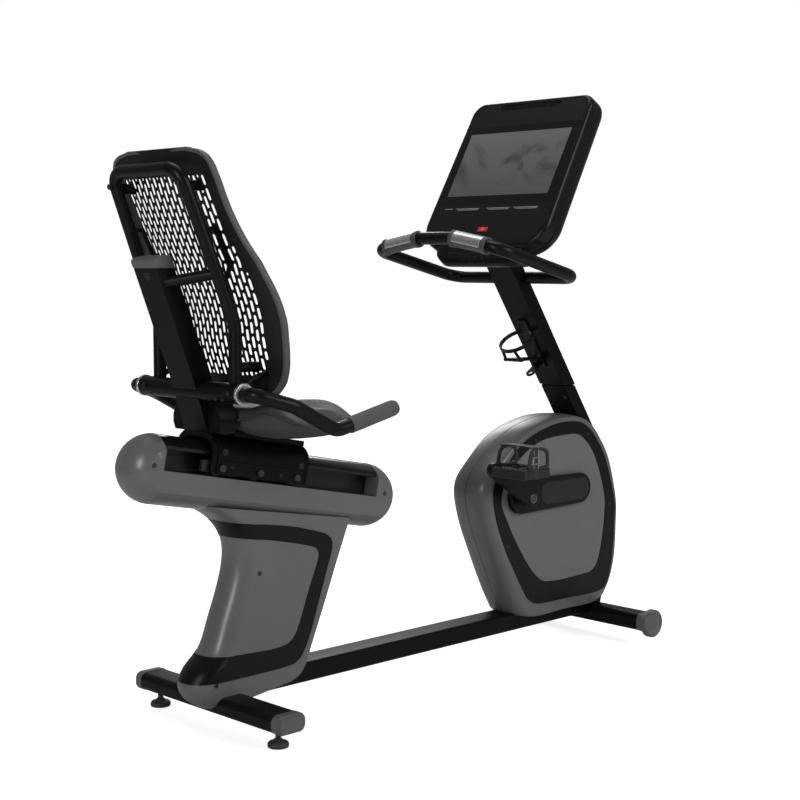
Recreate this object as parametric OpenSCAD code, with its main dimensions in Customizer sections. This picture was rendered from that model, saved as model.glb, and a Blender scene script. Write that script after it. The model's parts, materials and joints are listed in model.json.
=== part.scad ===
/* [Base frame] */
// Distance from the rear stabilizer's centre to the front stabilizer's centre
foot_span = 1272; // [1200:1:1400]
// Height of the rear stabilizer's centre above the floor
rear_tube_z = 58; // [52:1:64]
// Height of the front stabilizer's centre above the floor
front_tube_z = 61; // [50:1:75]
// Length of the rear stabilizer over its end caps
rear_tube_l = 520; // [420:1:640]
// Length of the front stabilizer over its end caps
front_tube_l = 462; // [400:1:600]
// Fore and aft width of the rear stabilizer tube
rear_tube_w = 75; // [60:1:90]
// Fore and aft width of the front stabilizer tube
front_tube_w = 62; // [50:1:70]
// Height of the rear stabilizer tube
rear_tube_h = 40; // [36:1:46]
// Height of the front stabilizer tube
front_tube_h = 46; // [40:1:52]
// Width of the main beam
beam_w = 70; // [50:1:80]
// Height of the main beam
beam_h = 46; // [40:1:60]
// Height of the main beam's centre above the floor
beam_z = 83; // [80:1:90]
// Wall of the steel tubes
tube_wall = 3; // [2:0.5:5]
// Distance of each levelling foot from the centre plane
foot_y = 212; // [150:1:225]
// Diameter of a levelling foot's pad
foot_d = 46; // [40:1:60]

/* [Transport wheels] */
// Diameter of a transport wheel
wheel_d = 75; // [60:1:90]
// Width of a transport wheel
wheel_w = 20; // [14:1:26]
// Distance of each wheel's middle from the centre plane
wheel_y = 177; // [150:1:190]
// Clear gap between the wheel and the front stabilizer
wheel_gap = 6.5; // [5:0.5:10]
// Diameter of a wheel's axle pin
wheel_pin_d = 10; // [8:1:14]

/* [Seat rail] */
// Slope of the rail, down towards the front, in degrees
rail_slope = 11.1; // [6:0.1:14]
// Radius of the rail housing's round section
rail_r = 75; // [68:1:85]
// Half width of the housing between its flat sides
rail_half_w = 60; // [58:1:62]
// Length of the housing between the centres of its round ends
rail_l = 612; // [600:1:700]
// Height of the rear end's centre above the floor
rail_z = 587; // [560:1:620]
// Distance of the rear end's centre behind the rear stabilizer
rail_back = 165; // [150:1:200]
// Seat travel forwards from where it stands
travel_front = 215; // [150:1:220]
// Seat travel rearwards from where it stands
travel_rear = 90; // [60:1:105]

/* [Seat] */
// Distance along the rail from its rear end's centre to the carriage's back edge
carriage_s = 105; // [100:1:106]
// Length of the carriage
carriage_l = 272; // [250:1:273]
// Width of the seat spine
spine_w = 82; // [70:1:90]
// Depth of the seat spine at its top, front to back
spine_d = 46; // [40:1:60]
// Height of the top of the spine above the floor
spine_top = 1006; // [960:1:1020]
// Diameter of the cross tube that carries the side handles
cross_d = 43; // [40:1:50]
// Half length of the cross tube
cross_half = 171; // [160:1:200]
// Height of the cross tube above the floor
cross_z = 747; // [735:1:760]
// Diameter of the side handle tube
handle_d = 31; // [28:1:34]
// Distance of the side handles' grips from the centre plane
grip_y = 250; // [240:1:270]
// Diameter of the backrest's tube frame
back_tube_d = 28; // [24:1:32]
// Thickness of the backrest's panel
panel_t = 8; // [6:1:12]

/* [Drive] */
// Distance of the crank axis behind the front stabilizer
crank_back = 347; // [330:1:360]
// Height of the crank axis above the floor
crank_z = 419; // [400:1:440]
// Length of a crank arm between its axes
crank_l = 165; // [150:1:175]
// Angle of the right crank above the horizontal, pointing rearwards
crank_angle = 31.4; // [0:0.1:60]
// Half width of the drive shroud
shroud_half_w = 62; // [58:1:70]
// Distance from the centre plane to a crank arm's inner face
arm_y = 96; // [90:1:110]
// Thickness of a crank arm
arm_t = 20; // [14:1:24]
// Diameter of the crank axle
axle_d = 24; // [20:1:28]
// Diameter of a pedal spindle
spindle_d = 14; // [12:1:16]
// Length of a pedal along its spindle
pedal_l = 108; // [95:1:120]

/* [Console] */
// Width of the console post
post_w = 85; // [70:1:100]
// Thickness of the console post, square to its length
post_d = 40; // [34:1:50]
// Lean of the console post from the upright, in degrees
post_lean = 34.2; // [30:0.1:38]
// Diameter of the console handlebar tube
bar_d = 31; // [25:1:34]
// Half width of the console handlebar
bar_half = 212; // [195:1:240]
// Width of the console
console_w = 420; // [400:1:460]
// Height of the console's face, along the face
console_h = 440; // [420:1:470]
// Tilt of the console's face from the upright, in degrees
console_tilt = 29.4; // [20:0.1:35]
// Depth of the console behind its face
console_d = 78; // [60:1:95]
// Width of the screen
screen_w = 343; // [300:1:360]
// Height of the screen
screen_h = 190; // [170:1:200]

/* [Hidden] */

$fn = 48;
fit = 0.2;          // clearance where one piece is fitted tight round another
pin_fit = 0.05;     // clearance of a turning pin in its bore
running = 5;        // clearance between pieces that move past each other

// where the parts stand, fore and aft, with the rear stabilizer's centre at 0
front_x = foot_span;
crank_x = front_x - crank_back;
wheel_x = front_x + front_tube_w / 2 + wheel_gap + wheel_d / 2;
rear_end = rail_back + rail_r;
front_end = wheel_x + wheel_d / 2;
mid_x = (front_end - rear_end) / 2;

// puts the bike's own frame on the middle of its length
module placed() {
    translate([-mid_x, 0, 0]) children();
}

// ---- general shapes ----

// a flat outline in x and z, made solid between two distances y
module slab(y0, y1) {
    translate([0, y1, 0]) rotate([90, 0, 0]) linear_extrude(height = y1 - y0) children();
}

// a rounded rectangle centred on the origin
module rounded(w, h, r) {
    square([w - 2 * r, h], center = true);
    square([w, h - 2 * r], center = true);
    for (a = [-1, 1], b = [-1, 1]) translate([a * (w / 2 - r), b * (h / 2 - r)]) circle(r);
}

// a closed smooth curve through the points p, with n steps between each two
function blend4(a, b, c, d, t) =
    0.5 * (2 * b + (c - a) * t + (2 * a - 5 * b + 4 * c - d) * t * t
    + (3 * b - a - 3 * c + d) * t * t * t);
function closed_curve(p, n) = [for (i = [0 : len(p) - 1], k = [0 : n - 1])
    blend4(p[(i + len(p) - 1) % len(p)], p[i], p[(i + 1) % len(p)], p[(i + 2) % len(p)], k / n)];

// the value at z of a smooth line through rows [z, value], z rising
function row_before(rows, z) = max([for (i = [0 : len(rows) - 2]) if (rows[i][0] <= z || i == 0) i]);
function line_at(rows, z) =
    let (i = row_before(rows, z), n = len(rows) - 1,
        t = (z - rows[i][0]) / (rows[i + 1][0] - rows[i][0]))
    blend4(rows[max(i - 1, 0)][1], rows[i][1], rows[i + 1][1], rows[min(i + 2, n)][1], t);

// a solid through rings of points, all with the same count, the first and last ring closed
// flat; a thin folded ring, out along one side and back along the other, is closed by strips
module skin(rings, folded = false) {
    n = len(rings[0]);
    m = len(rings);
    sides = [for (i = [0 : m - 2], k = [0 : n - 1]) each [
        [i * n + k, i * n + (k + 1) % n, (i + 1) * n + k],
        [i * n + (k + 1) % n, (i + 1) * n + (k + 1) % n, (i + 1) * n + k]]];
    e = (m - 1) * n;
    strips = [for (k = [0 : n / 2 - 2]) [k, k + 1, n - 2 - k, n - 1 - k]];
    low = folded ? [for (q = strips) [q[3], q[2], q[1], q[0]]] : [[for (k = [n - 1 : -1 : 0]) k]];
    high = folded ? [for (q = strips) [q[0] + e, q[1] + e, q[2] + e, q[3] + e]]
        : [[for (k = [0 : n - 1]) e + k]];
    polyhedron(points = [for (r = rings) each r], faces = concat(sides, low, high));
}

function unit(v) = v / norm(v);
function turn(p, i) = acos(unit(p[i] - p[i - 1]) * unit(p[i + 1] - p[i]));
function setback(p, r, i) = (i == 0 || i == len(p) - 1) ? 0 : r[i] * tan(turn(p, i) / 2);

// a solid bar along a straight line from a to b
module bar(a, b, d) {
    z = unit(b - a);
    x = unit(abs(z[2]) > 0.9 ? cross([0, 1, 0], z) : cross([0, 0, 1], z));
    y = cross(z, x);
    multmatrix([[x[0], y[0], z[0], a[0]], [x[1], y[1], z[1], a[1]], [x[2], y[2], z[2], a[2]],
        [0, 0, 0, 1]])
        cylinder(h = norm(b - a), d = d);
}

// a round elbow at corner i of the path p, with the bend radius r[i]
module elbow(p, r, i, d) {
    u = unit(p[i] - p[i - 1]);
    w = unit(p[i + 1] - p[i]);
    n = unit(cross(u, w));
    inward = cross(n, u);
    c = p[i] - u * setback(p, r, i) + inward * r[i];
    multmatrix([[-inward[0], u[0], n[0], c[0]], [-inward[1], u[1], n[1], c[1]],
        [-inward[2], u[2], n[2], c[2]], [0, 0, 0, 1]])
        rotate_extrude(angle = turn(p, i)) translate([r[i], 0]) circle(d = d + 0.4);
}

// a bent round tube, solid, along the corners p with bend radii r
module bent(p, r, d) {
    for (i = [0 : len(p) - 2])
        bar(p[i] + unit(p[i + 1] - p[i]) * (setback(p, r, i) - (i > 0 ? 2 : 0)),
            p[i + 1] - unit(p[i + 1] - p[i]) * (setback(p, r, i + 1) - (i < len(p) - 2 ? 2 : 0)), d);
    for (i = [1 : len(p) - 2]) elbow(p, r, i, d);
}

// both sides of something drawn on the left
module both() {
    children();
    mirror([0, 1, 0]) children();
}

// a bolt head with its washer, standing on its seat, axis up
module bolt_head(d, h) {
    cylinder(h = 1.5, d = d * 1.35);
    translate([0, 0, 1.5]) cylinder(h = h, d = d);
}

// ---- base frame ----

cap_l = 25;
foot_tube_r = 16;
beam_rear = -rear_tube_w / 2 + 6;
beam_front = front_x + front_tube_w / 2 - 4;

module rear_tube_shape(l, grow) {
    translate([0, l / 2, rear_tube_z]) rotate([90, 0, 0]) linear_extrude(height = l)
        rounded(rear_tube_w + 2 * grow, rear_tube_h + 2 * grow, foot_tube_r + grow);
}

module front_tube_shape(l, grow) {
    translate([front_x, l / 2, front_tube_z]) rotate([90, 0, 0]) linear_extrude(height = l)
        rounded(front_tube_w + 2 * grow, front_tube_h + 2 * grow, foot_tube_r + grow);
}

module rear_stabilizer() {
    color("#1c1d1f") placed() difference() {
        rear_tube_shape(rear_tube_l - 2 * cap_l, 0);
        rear_tube_shape(rear_tube_l, -tube_wall);
    }
}

module front_stabilizer() {
    color("#1c1d1f") placed() difference() {
        front_tube_shape(front_tube_l - 2 * cap_l, 0);
        front_tube_shape(front_tube_l, -tube_wall);
    }
}

// an end cap: a sleeve the size of the tube, a stepped face and a spigot inside the tube
module end_cap(w, h, z, half_l) {
    translate([0, half_l - cap_l, z]) rotate([-90, 0, 0]) {
        linear_extrude(height = cap_l - 6) rounded(w + 2, h + 2, foot_tube_r + 1);
        translate([0, 0, cap_l - 6]) linear_extrude(height = 3)
            rounded(w - 1, h - 1, foot_tube_r - 1);
        translate([0, 0, cap_l - 3]) linear_extrude(height = 3)
            rounded(w - 8, h - 8, foot_tube_r - 4);
        translate([0, 0, -20]) linear_extrude(height = 20)
            rounded(w - 2 * tube_wall - 2 * fit, h - 2 * tube_wall - 2 * fit,
                foot_tube_r - tube_wall);
    }
}

module rear_end_caps() {
    color("#56595b") placed() both()
        end_cap(rear_tube_w, rear_tube_h, rear_tube_z, rear_tube_l / 2);
}

module front_end_caps() {
    color("#56595b") placed() translate([front_x, 0, 0]) both()
        end_cap(front_tube_w, front_tube_h, front_tube_z, front_tube_l / 2);
}

// a rubber pad on a threaded stem, with a lock nut under the tube
module levelling_feet() {
    tube_bottom = rear_tube_z - rear_tube_h / 2;
    color("#2a2b2d") placed() both() translate([0, foot_y, 0])
        rotate_extrude() polygon([[0, 0], [foot_d / 2 - 2, 0], [foot_d / 2, 2], [foot_d / 2, 9],
            [foot_d / 2 - 3, 12], [12, 15], [8, 19], [6, 20], [6, tube_bottom - 7],
            [10, tube_bottom - 7], [10, tube_bottom], [0, tube_bottom]]);
}

module main_beam() {
    color("#1c1d1f") placed() difference() {
        translate([beam_rear, 0, beam_z]) rotate([90, 0, 90])
            linear_extrude(height = beam_front - beam_rear) difference() {
                rounded(beam_w, beam_h, 6);
                rounded(beam_w - 2 * tube_wall, beam_h - 2 * tube_wall, 6 - tube_wall + 0.5);
            }
        rear_tube_shape(beam_w + 20, 0);
        front_tube_shape(beam_w + 20, 0);
    }
}

// ---- transport wheels ----

bracket_t = 5;
bracket_y = wheel_y - wheel_w / 2 - running - bracket_t;
wheel_z = wheel_d / 2;

module wheel_brackets() {
    face_x = front_x + front_tube_w / 2;
    color("#1c1d1f") placed() both() {
        slab(bracket_y, bracket_y + bracket_t) union() {
            translate([wheel_x, wheel_z]) circle(14);
            polygon([[face_x, front_tube_z - 12], [wheel_x, wheel_z - 14],
                [wheel_x, wheel_z + 14], [face_x, front_tube_z + 12]]);
        }
        translate([wheel_x, bracket_y + bracket_t, wheel_z]) rotate([-90, 0, 0])
            cylinder(h = running + wheel_w + 3, d = wheel_pin_d);
        translate([wheel_x, bracket_y + bracket_t, wheel_z]) rotate([-90, 0, 0])
            cylinder(h = running - 0.5, d = wheel_pin_d + 8);
        translate([wheel_x, wheel_y + wheel_w / 2 + 0.5, wheel_z]) rotate([-90, 0, 0])
            cylinder(h = 3, d = wheel_pin_d + 8);
    }
}

module wheel(side) {
    color("#5b5e60") placed() translate([wheel_x, side * wheel_y, wheel_z]) rotate([90, 0, 0])
        rotate_extrude() polygon([
            [wheel_pin_d / 2 + pin_fit, -wheel_w / 2], [14, -wheel_w / 2], [16, -wheel_w / 2 + 2],
            [wheel_d / 2 - 8, -wheel_w / 2 + 2], [wheel_d / 2 - 6, -wheel_w / 2],
            [wheel_d / 2 - 2, -wheel_w / 2], [wheel_d / 2, -wheel_w / 2 + 2],
            [wheel_d / 2, wheel_w / 2 - 2], [wheel_d / 2 - 2, wheel_w / 2],
            [wheel_d / 2 - 6, wheel_w / 2], [wheel_d / 2 - 8, wheel_w / 2 - 2],
            [16, wheel_w / 2 - 2], [14, wheel_w / 2], [wheel_pin_d / 2 + pin_fit, wheel_w / 2]]);
}
module wheel_left() { wheel(1); }
module wheel_right() { wheel(-1); }

// ---- seat rail ----

slot_back = -10;
slot_front = rail_l - 8;
cover_h = 53;
track_h = 2;
trough = -30;
flange_half = 50;

// the rail's own frame: x along the rail, z square to it, origin at the rear end's centre
module on_rail() {
    translate([-rail_back, 0, rail_z]) rotate([0, rail_slope, 0]) children();
}
function rail_x(s, h) = -rail_back + s * cos(rail_slope) + h * sin(rail_slope);
function rail_height(s, h) = rail_z - s * sin(rail_slope) + h * cos(rail_slope);

module rail_body_shape(r) {
    intersection() {
        union() {
            rotate([0, 90, 0]) cylinder(h = rail_l, r = r, $fn = 96);
            sphere(r, $fn = 96);
            translate([rail_l, 0, 0]) sphere(r, $fn = 96);
        }
        translate([-r - 1, -rail_half_w, -r - 1])
            cube([rail_l + 2 * r + 2, 2 * rail_half_w, 2 * r + 2]);
    }
}

module rail_housing() {
    color("#5b5f5e") placed() on_rail() difference() {
        rail_body_shape(rail_r);
        translate([slot_back, -rail_half_w - 1, 0])
            cube([slot_front - slot_back, 2 * rail_half_w + 2, rail_r + 1]);
        translate([slot_back, -flange_half - 1, trough])
            cube([slot_front - slot_back, 2 * flange_half + 2, rail_r]);
    }
}

module rail_cover() {
    color("#141516") placed() on_rail() intersection() {
        translate([slot_back + fit, 0, 0]) rotate([0, 90, 0])
            cylinder(h = slot_front - slot_back - 2 * fit, r = rail_r - 0.5, $fn = 96);
        translate([slot_back, -rail_r, cover_h]) cube([rail_l, 2 * rail_r, rail_r]);
    }
}

module seat_rail() {
    color("#2b2c2e") placed() on_rail()
        translate([slot_back + fit, 0, 0]) rotate([90, 0, 90])
            linear_extrude(height = slot_front - slot_back - 2 * fit) union() {
                translate([-flange_half, trough]) square([2 * flange_half, track_h - trough]);
                translate([-16, track_h]) square([32, cover_h - track_h]);
                translate([-flange_half, cover_h - 8]) square([2 * flange_half, 8]);
            }
}

// ---- pedestal ----

pedestal_half_w = 55;
pedestal_bulge = 52;
// each row: rear edge [x, z] on the centre plane, front edge [x, z]
pedestal_rows = [
    [[-46, 50], [176, 78]], [[-76, 70], [200, 88]], [[-92, 100], [216, 106]],
    [[-78, 132], [228, 132]], [[-46, 162], [240, 160]], [[-27, 190], [252, 188]],
    [[-8, 240], [272, 234]], [[15, 300], [294, 286]], [[29, 350], [312, 330]],
    [[32, 392], [326, 362]], [[20, 430], [338, 390]], [[-6, 460], [346, 408]],
    [[-44, 486], [352, 420]], [[-62, 500], [356, 428]]];

// a D-shaped ring of points: a flat front with rounded corners and a round back
function d_ring(rear, front, grow = 0) =
    let (len_x = norm(front - rear), ux = (front - rear) / len_x, w = pedestal_half_w + grow,
        b = pedestal_bulge, c = 10,
        flat = concat(
            [for (a = [90 : 15 : 270]) [b + (b + grow) * cos(a), w * sin(a)]],
            [for (a = [-90 : 30 : 0]) [len_x - c + c * cos(a), -w + c + c * sin(a)]],
            [for (a = [0 : 30 : 90]) [len_x - c + c * cos(a), w - c + c * sin(a)]]))
    [for (q = flat) [rear[0] + ux[0] * q[0], q[1], rear[1] + ux[1] * q[0]]];

module pedestal_shroud() {
    color("#5b5f5e") placed() difference() {
        skin([for (r = pedestal_rows) d_ring(r[0], r[1])]);
        rear_tube_shape(2 * pedestal_half_w + 20, 0.5);
        translate([-rear_tube_w / 2 - 0.5, -beam_w / 2 - 0.5, 0])
            cube([400, beam_w + 1, beam_z + beam_h / 2 + 0.5]);
        on_rail() rotate([0, 90, 0]) translate([0, 0, -50])
            cylinder(h = rail_l + 100, r = rail_r + fit, $fn = 96);
    }
}

// the black band on both sides, which wraps round the back in two arms
band_side = [[-28, 112], [60, 112], [150, 114], [184, 120], [206, 140], [228, 184], [256, 262],
    [278, 322], [292, 362], [292, 384], [276, 400], [249, 410], [180, 430], [75, 452],
    [64, 454], [64, 413], [74, 412], [160, 394], [228, 379], [246, 370], [252, 356],
    [246, 336], [222, 280], [196, 214], [178, 180], [154, 165], [110, 160], [60, 161],
    [14, 165]];
function row_at(t) = let (i = floor(t), f = t - i)
    [for (e = [0, 1]) pedestal_rows[i][e] * (1 - f) + pedestal_rows[i + 1][e] * f];
function wrap_ring(t) =
    let (r = row_at(t), u = unit(r[1] - r[0]), w = pedestal_half_w, b = pedestal_bulge,
        arc = concat([[b + 12, -1, 0]],
            [for (a = [270 : -15 : 90]) [b * cos(a) + b, sin(a), cos(a)]], [[b + 12, 1, 0]]),
        n = len(arc))
    [for (k = [0 : 2 * n - 1])
        let (q = arc[k < n ? k : 2 * n - 1 - k], g = k < n ? 1.2 : 0.1, v = q[0] + g * q[2])
        [r[0][0] + u[0] * v, (w + g) * q[1], r[0][1] + u[1] * v]];

module pedestal_band() {
    color("#17181a") placed() {
        both() slab(pedestal_half_w + 0.2, pedestal_half_w + 1) polygon(band_side);
        skin([for (t = [2.35, 3, 4, 4.2]) wrap_ring(t)], true);
        skin([for (t = [9.7, 10, 10.8]) wrap_ring(t)], true);
    }
}

// ---- drive unit ----

// the shroud's flat side and its middle outline, measured from the crank axis
side_outline = closed_curve([
    [-102, 27], [-69, 73], [20, 147], [133, 183], [227, 187], [287, 169], [333, 124],
    [373, 61], [405, -44], [407, -119], [399, -214], [370, -286], [320, -321],
    [190, -323], [60, -322], [20, -284], [-53, -141], [-91, -49]], 3);
middle_outline = closed_curve([
    [-131, 27], [-92, 84], [18, 160], [130, 191], [229, 195], [292, 175], [341, 127],
    [381, 65], [413, -43], [415, -119], [407, -215], [374, -292], [320, -325],
    [190, -327], [44, -326], [-6, -289], [-79, -144], [-120, -47]], 3);
ring_outer = closed_curve([
    [-94, 27], [-62, 68], [24, 139], [133, 174], [226, 178], [279, 160], [322, 118],
    [359, 61], [397, -48], [399, -106], [391, -203], [371, -272], [330, -296],
    [197, -295], [84, -293], [48, -279], [27, -257], [-45, -138], [-83, -50]], 3);
ring_inner = closed_curve([
    [-65, 3], [-21, 77], [77, 134], [201, 146], [257, 134], [311, 77], [351, -23],
    [355, -82], [345, -150], [330, -205], [308, -232], [270, -240], [139, -241], [82, -226],
    [26, -168], [-40, -66]], 3);

shell_t = 4;
plate_t = 2.5;
boss_r = 44;
boss_y = 80;

module at_crank() {
    translate([crank_x, 0, crank_z]) children();
}

// half of the shroud's outer body, from the centre plane to the left
module shroud_body() {
    at_crank() hull() for (a = [0, 25, 45, 65, 90])
        slab(shroud_half_w * sin(a) - (a == 90 ? 0.5 : 0), shroud_half_w * sin(a) + (a == 90 ? 0 : 0.5))
            polygon(side_outline + (middle_outline - side_outline) * cos(a));
}

module shroud_half() {
    difference() {
        shroud_body();
        at_crank() slab(-1, shroud_half_w - shell_t) polygon(side_outline * 0.965);
        at_crank() rotate([-90, 0, 0]) cylinder(h = 2 * shroud_half_w, d = axle_d + 2 * running);
        post_cut();
        translate([crank_x - 200, -1, 0])
            cube([800, beam_w / 2 + 1.5, beam_z + beam_h / 2 + 0.5]);
        translate([crank_x + 20, -1, 60]) cube([300, web_t / 2 + 1.5, 70]);
        slab(-1, strut_half + 0.5) strut_side(0.5);
        front_tube_shape(300, 0.5);
    }
}

module drive_shroud_left() { color("#5b5f5e") placed() shroud_half(); }
module drive_shroud_right() { color("#5b5f5e") placed() mirror([0, 1, 0]) shroud_half(); }

module axle_clear() {
    at_crank() rotate([-90, 0, 0]) cylinder(h = 2 * boss_y, d = axle_d + 2 * running);
}

module side_rings() {
    color("#17181a") placed() both() difference() {
        at_crank() slab(shroud_half_w, shroud_half_w + plate_t) difference() {
            polygon(ring_outer);
            polygon(ring_inner);
        }
        axle_clear();
    }
}

module side_panels() {
    color("#63676a") placed() both() difference() {
        at_crank() slab(shroud_half_w, shroud_half_w + plate_t) polygon(ring_inner * 0.996);
        axle_clear();
    }
}

// the long black boss round the crank axle
module crank_bosses() {
    color("#141516") placed() both() difference() {
        at_crank() slab(shroud_half_w + plate_t, boss_y) union() {
            circle(boss_r, $fn = 64);
            translate([0, -boss_r + 4]) square([235, 2 * boss_r - 8]);
            translate([235, 0]) circle(boss_r - 4, $fn = 64);
        }
        at_crank() slab(boss_y - 2, boss_y + 1) union() {
            translate([90, 0]) circle(boss_r - 14);
            translate([90, -boss_r + 14]) square([140, 2 * boss_r - 28]);
            translate([230, 0]) circle(boss_r - 14);
        }
        axle_clear();
    }
}

// the black foot in front of the shroud, between its bottom corner and the front stabilizer
strut_half = 34;
module strut_side(grow) {
    back = post_foot_x + post_run + 0.5 - grow;
    polygon([[back, front_tube_z], [back, 150 + grow],
        [front_x + 47 + grow, 150 + grow], [front_x + 40 + grow, 112],
        [front_x + 26 + grow, front_tube_z]]);
}

module front_strut() {
    color("#1c1d1f") placed() difference() {
        slab(-strut_half, strut_half) strut_side(0);
        front_tube_shape(200, fit);
        translate([0, -beam_w / 2 - fit, 0]) cube([beam_front + fit, beam_w + 2 * fit,
            beam_z + beam_h / 2 + fit]);
    }
}

flywheel_x = crank_x + 152;
flywheel_z = crank_z - 112;
bearing_half = 45;
web_t = 16;

// the welded web that carries the crank bearing, the flywheel and the post
module drive_frame() {
    beam_top = beam_z + beam_h / 2;
    color("#1c1d1f") placed() difference() {
        union() {
            slab(-web_t / 2, web_t / 2) polygon([
                [crank_x + 100, beam_top], [crank_x - 16, crank_z - 18], [crank_x, crank_z + 24],
                [crank_x + 60, crank_z + 12], [post_foot_x - fit, flywheel_z + 80],
                [post_foot_x - fit, beam_top]]);
            at_crank() rotate([90, 0, 0])
                cylinder(h = 2 * bearing_half, d = axle_d + 24, center = true);
        }
        at_crank() rotate([90, 0, 0])
            cylinder(h = 2 * bearing_half + 2, d = axle_d + 2 * pin_fit, center = true);
    }
}

module flywheel() {
    color("#3a3c3e") placed() translate([flywheel_x, web_t / 2, flywheel_z]) rotate([-90, 0, 0])
        cylinder(h = 34, r = 100);
}

// ---- console post ----

post_joint_z = 692;
post_top_z = 1034;
post_base_z = 606;
post_slope = tan(post_lean);
post_run = post_d / cos(post_lean);
// the post's rear face stands at x = post_ref - post_slope * z
post_ref = crank_x + 673.2;
post_bend_z = 575;

module post_side(z0, z1, grow) {
    polygon([[post_ref - post_slope * z0 - grow, z0], [post_ref - post_slope * z1 - grow, z1],
        [post_ref - post_slope * z1 + post_run + grow, z1],
        [post_ref - post_slope * z0 + post_run + grow, z0]]);
}

post_foot_x = post_ref - post_slope * post_bend_z;
module socket_side(grow) {
    polygon([[post_foot_x - grow, beam_z + beam_h / 2], [post_foot_x - grow, post_bend_z],
        [post_ref - post_slope * post_joint_z - grow, post_joint_z],
        [post_ref - post_slope * post_joint_z + post_run + grow, post_joint_z],
        [post_foot_x + post_run + grow, post_bend_z],
        [post_foot_x + post_run + grow, beam_z + beam_h / 2]]);
}

module post_cut() {
    slab(-post_w / 2 - 0.5, post_w / 2 + 0.5) socket_side(0.5);
}

module post_socket() {
    color("#1c1d1f") placed() slab(-post_w / 2, post_w / 2) socket_side(0);
}

bar_rear = [crank_x + 48, 979];
module at_bar_axis() { translate([bar_rear[0], 0, bar_rear[1]]) children(); }

module console_post() {
    color("#1c1d1f") placed() difference() {
        slab(-post_w / 2, post_w / 2) post_side(post_joint_z + 0.5, post_top_z, 0);
        at_bar_axis() rotate([90, 0, 0]) cylinder(h = post_w + 2, d = bar_d + 2 * fit, center = true);
    }
}

// ---- handlebar ----

bar_front_x = crank_x - 239;
bar_mid_z = 1077;
bar_side_z = 1050;
grip_in = 52;
bar_path = [[bar_front_x, 0, bar_mid_z], [bar_front_x, grip_in, bar_mid_z],
    [bar_front_x, bar_half, bar_side_z], [bar_rear[0], bar_half, bar_rear[1]],
    [bar_rear[0], 0, bar_rear[1]]];
bar_bends = [0, 30, 40, 45, 0];

module console_handlebar() {
    color("#1c1d1f") placed() both() bent(bar_path, bar_bends, bar_d);
}

grip_dir = unit([0, bar_half - grip_in, bar_side_z - bar_mid_z]);
grip_start = [bar_front_x, grip_in, bar_mid_z] + grip_dir * 6;
grip_len = 118;

module on_grip() {
    z = grip_dir;
    x = [1, 0, 0];
    y = cross(z, x);
    multmatrix([[x[0], y[0], z[0], grip_start[0]], [x[1], y[1], z[1], grip_start[1]],
        [x[2], y[2], z[2], grip_start[2]], [0, 0, 0, 1]])
        children();
}

module grip_sleeves() {
    color("#3c3e40") placed() both() on_grip() difference() {
        union() {
            cylinder(h = 12, d = bar_d + 11);
            cylinder(h = grip_len, d = bar_d + 7);
            translate([0, 0, grip_len - 12]) cylinder(h = 12, d = bar_d + 11);
        }
        translate([0, 0, -1]) cylinder(h = grip_len + 2, d = bar_d + 2 * fit);
    }
}

// the metal contact plates on the upper half of each grip
module pulse_plates() {
    color("#c9cccd") placed() both() on_grip() difference() {
        translate([0, 0, 12 + fit]) cylinder(h = grip_len - 24 - 2 * fit, d = bar_d + 11);
        cylinder(h = grip_len, d = bar_d + 7 + 2 * fit);
        rotate(-18) translate([-40, 0, -1]) cube([80, 40, grip_len + 2]);
    }
}

// ---- console ----

face_x = crank_x - 96;
face_z = 1058;

// the console's face: x across, y up the face, z towards the rider
module on_face() {
    s = sin(console_tilt);
    c = cos(console_tilt);
    multmatrix([[0, s, -c, face_x], [-1, 0, 0, 0], [0, c, s, face_z], [0, 0, 0, 1]]) children();
}

face_t = 5;
module face_outline(inset) {
    w = console_w / 2 - inset;
    hull() for (a = [-1, 1]) {
        translate([a * (w - 41), console_h - 34 - inset]) circle(34, $fn = 32);
        translate([a * (w - 70), 70 + inset]) circle(70, $fn = 48);
    }
}

chin_z = 1006;
module console_back() {
    color("#141516") placed() difference() {
        union() {
            hull() {
                on_face() translate([0, 0, -58]) linear_extrude(height = 58 - face_t)
                    face_outline(0);
                on_face() translate([0, 0, -console_d]) linear_extrude(height = 2)
                    face_outline(24);
            }
            hull() {
                on_face() translate([0, 60, -58]) linear_extrude(height = 50)
                    square([300, 100], center = true);
                translate([face_x + 4, -156, chin_z + 30]) cube([70, 312, 12]);
                translate([face_x - 6, -126, chin_z]) cube([96, 252, 4]);
            }
        }
        slab(-post_w / 2 - fit, post_w / 2 + fit) post_side(post_joint_z, post_top_z + fit, fit);
    }
}

screen_low = 150;
module console_face() {
    color("#1a1b1d") placed() on_face() difference() {
        translate([0, 0, -face_t + fit]) linear_extrude(height = face_t - fit) face_outline(1);
        translate([-screen_w / 2, screen_low, -2]) cube([screen_w, screen_h, 5]);
        translate([0, 50, -2]) cube([34, 14, 10], center = true);
    }
}

module console_screen() {
    color("#33363a") placed() on_face() translate([-screen_w / 2 + fit, screen_low + fit, -2])
        cube([screen_w - 2 * fit, screen_h - 2 * fit, 1.5]);
}

module stop_button() {
    color("#c23a40") placed() on_face() translate([0, 50, -2]) linear_extrude(height = 4)
        square([33, 13], center = true);
}

// ---- bottle cage ----

// the post's rear face: x across, y up the post, z out of its rear face
cage_z = 750;
module on_post_rear() {
    s = sin(post_lean);
    c = cos(post_lean);
    multmatrix([[0, -s, -c, post_ref - post_slope * cage_z], [1, 0, 0, 0], [0, c, -s, cage_z],
        [0, 0, 0, 1]]) children();
}

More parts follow.
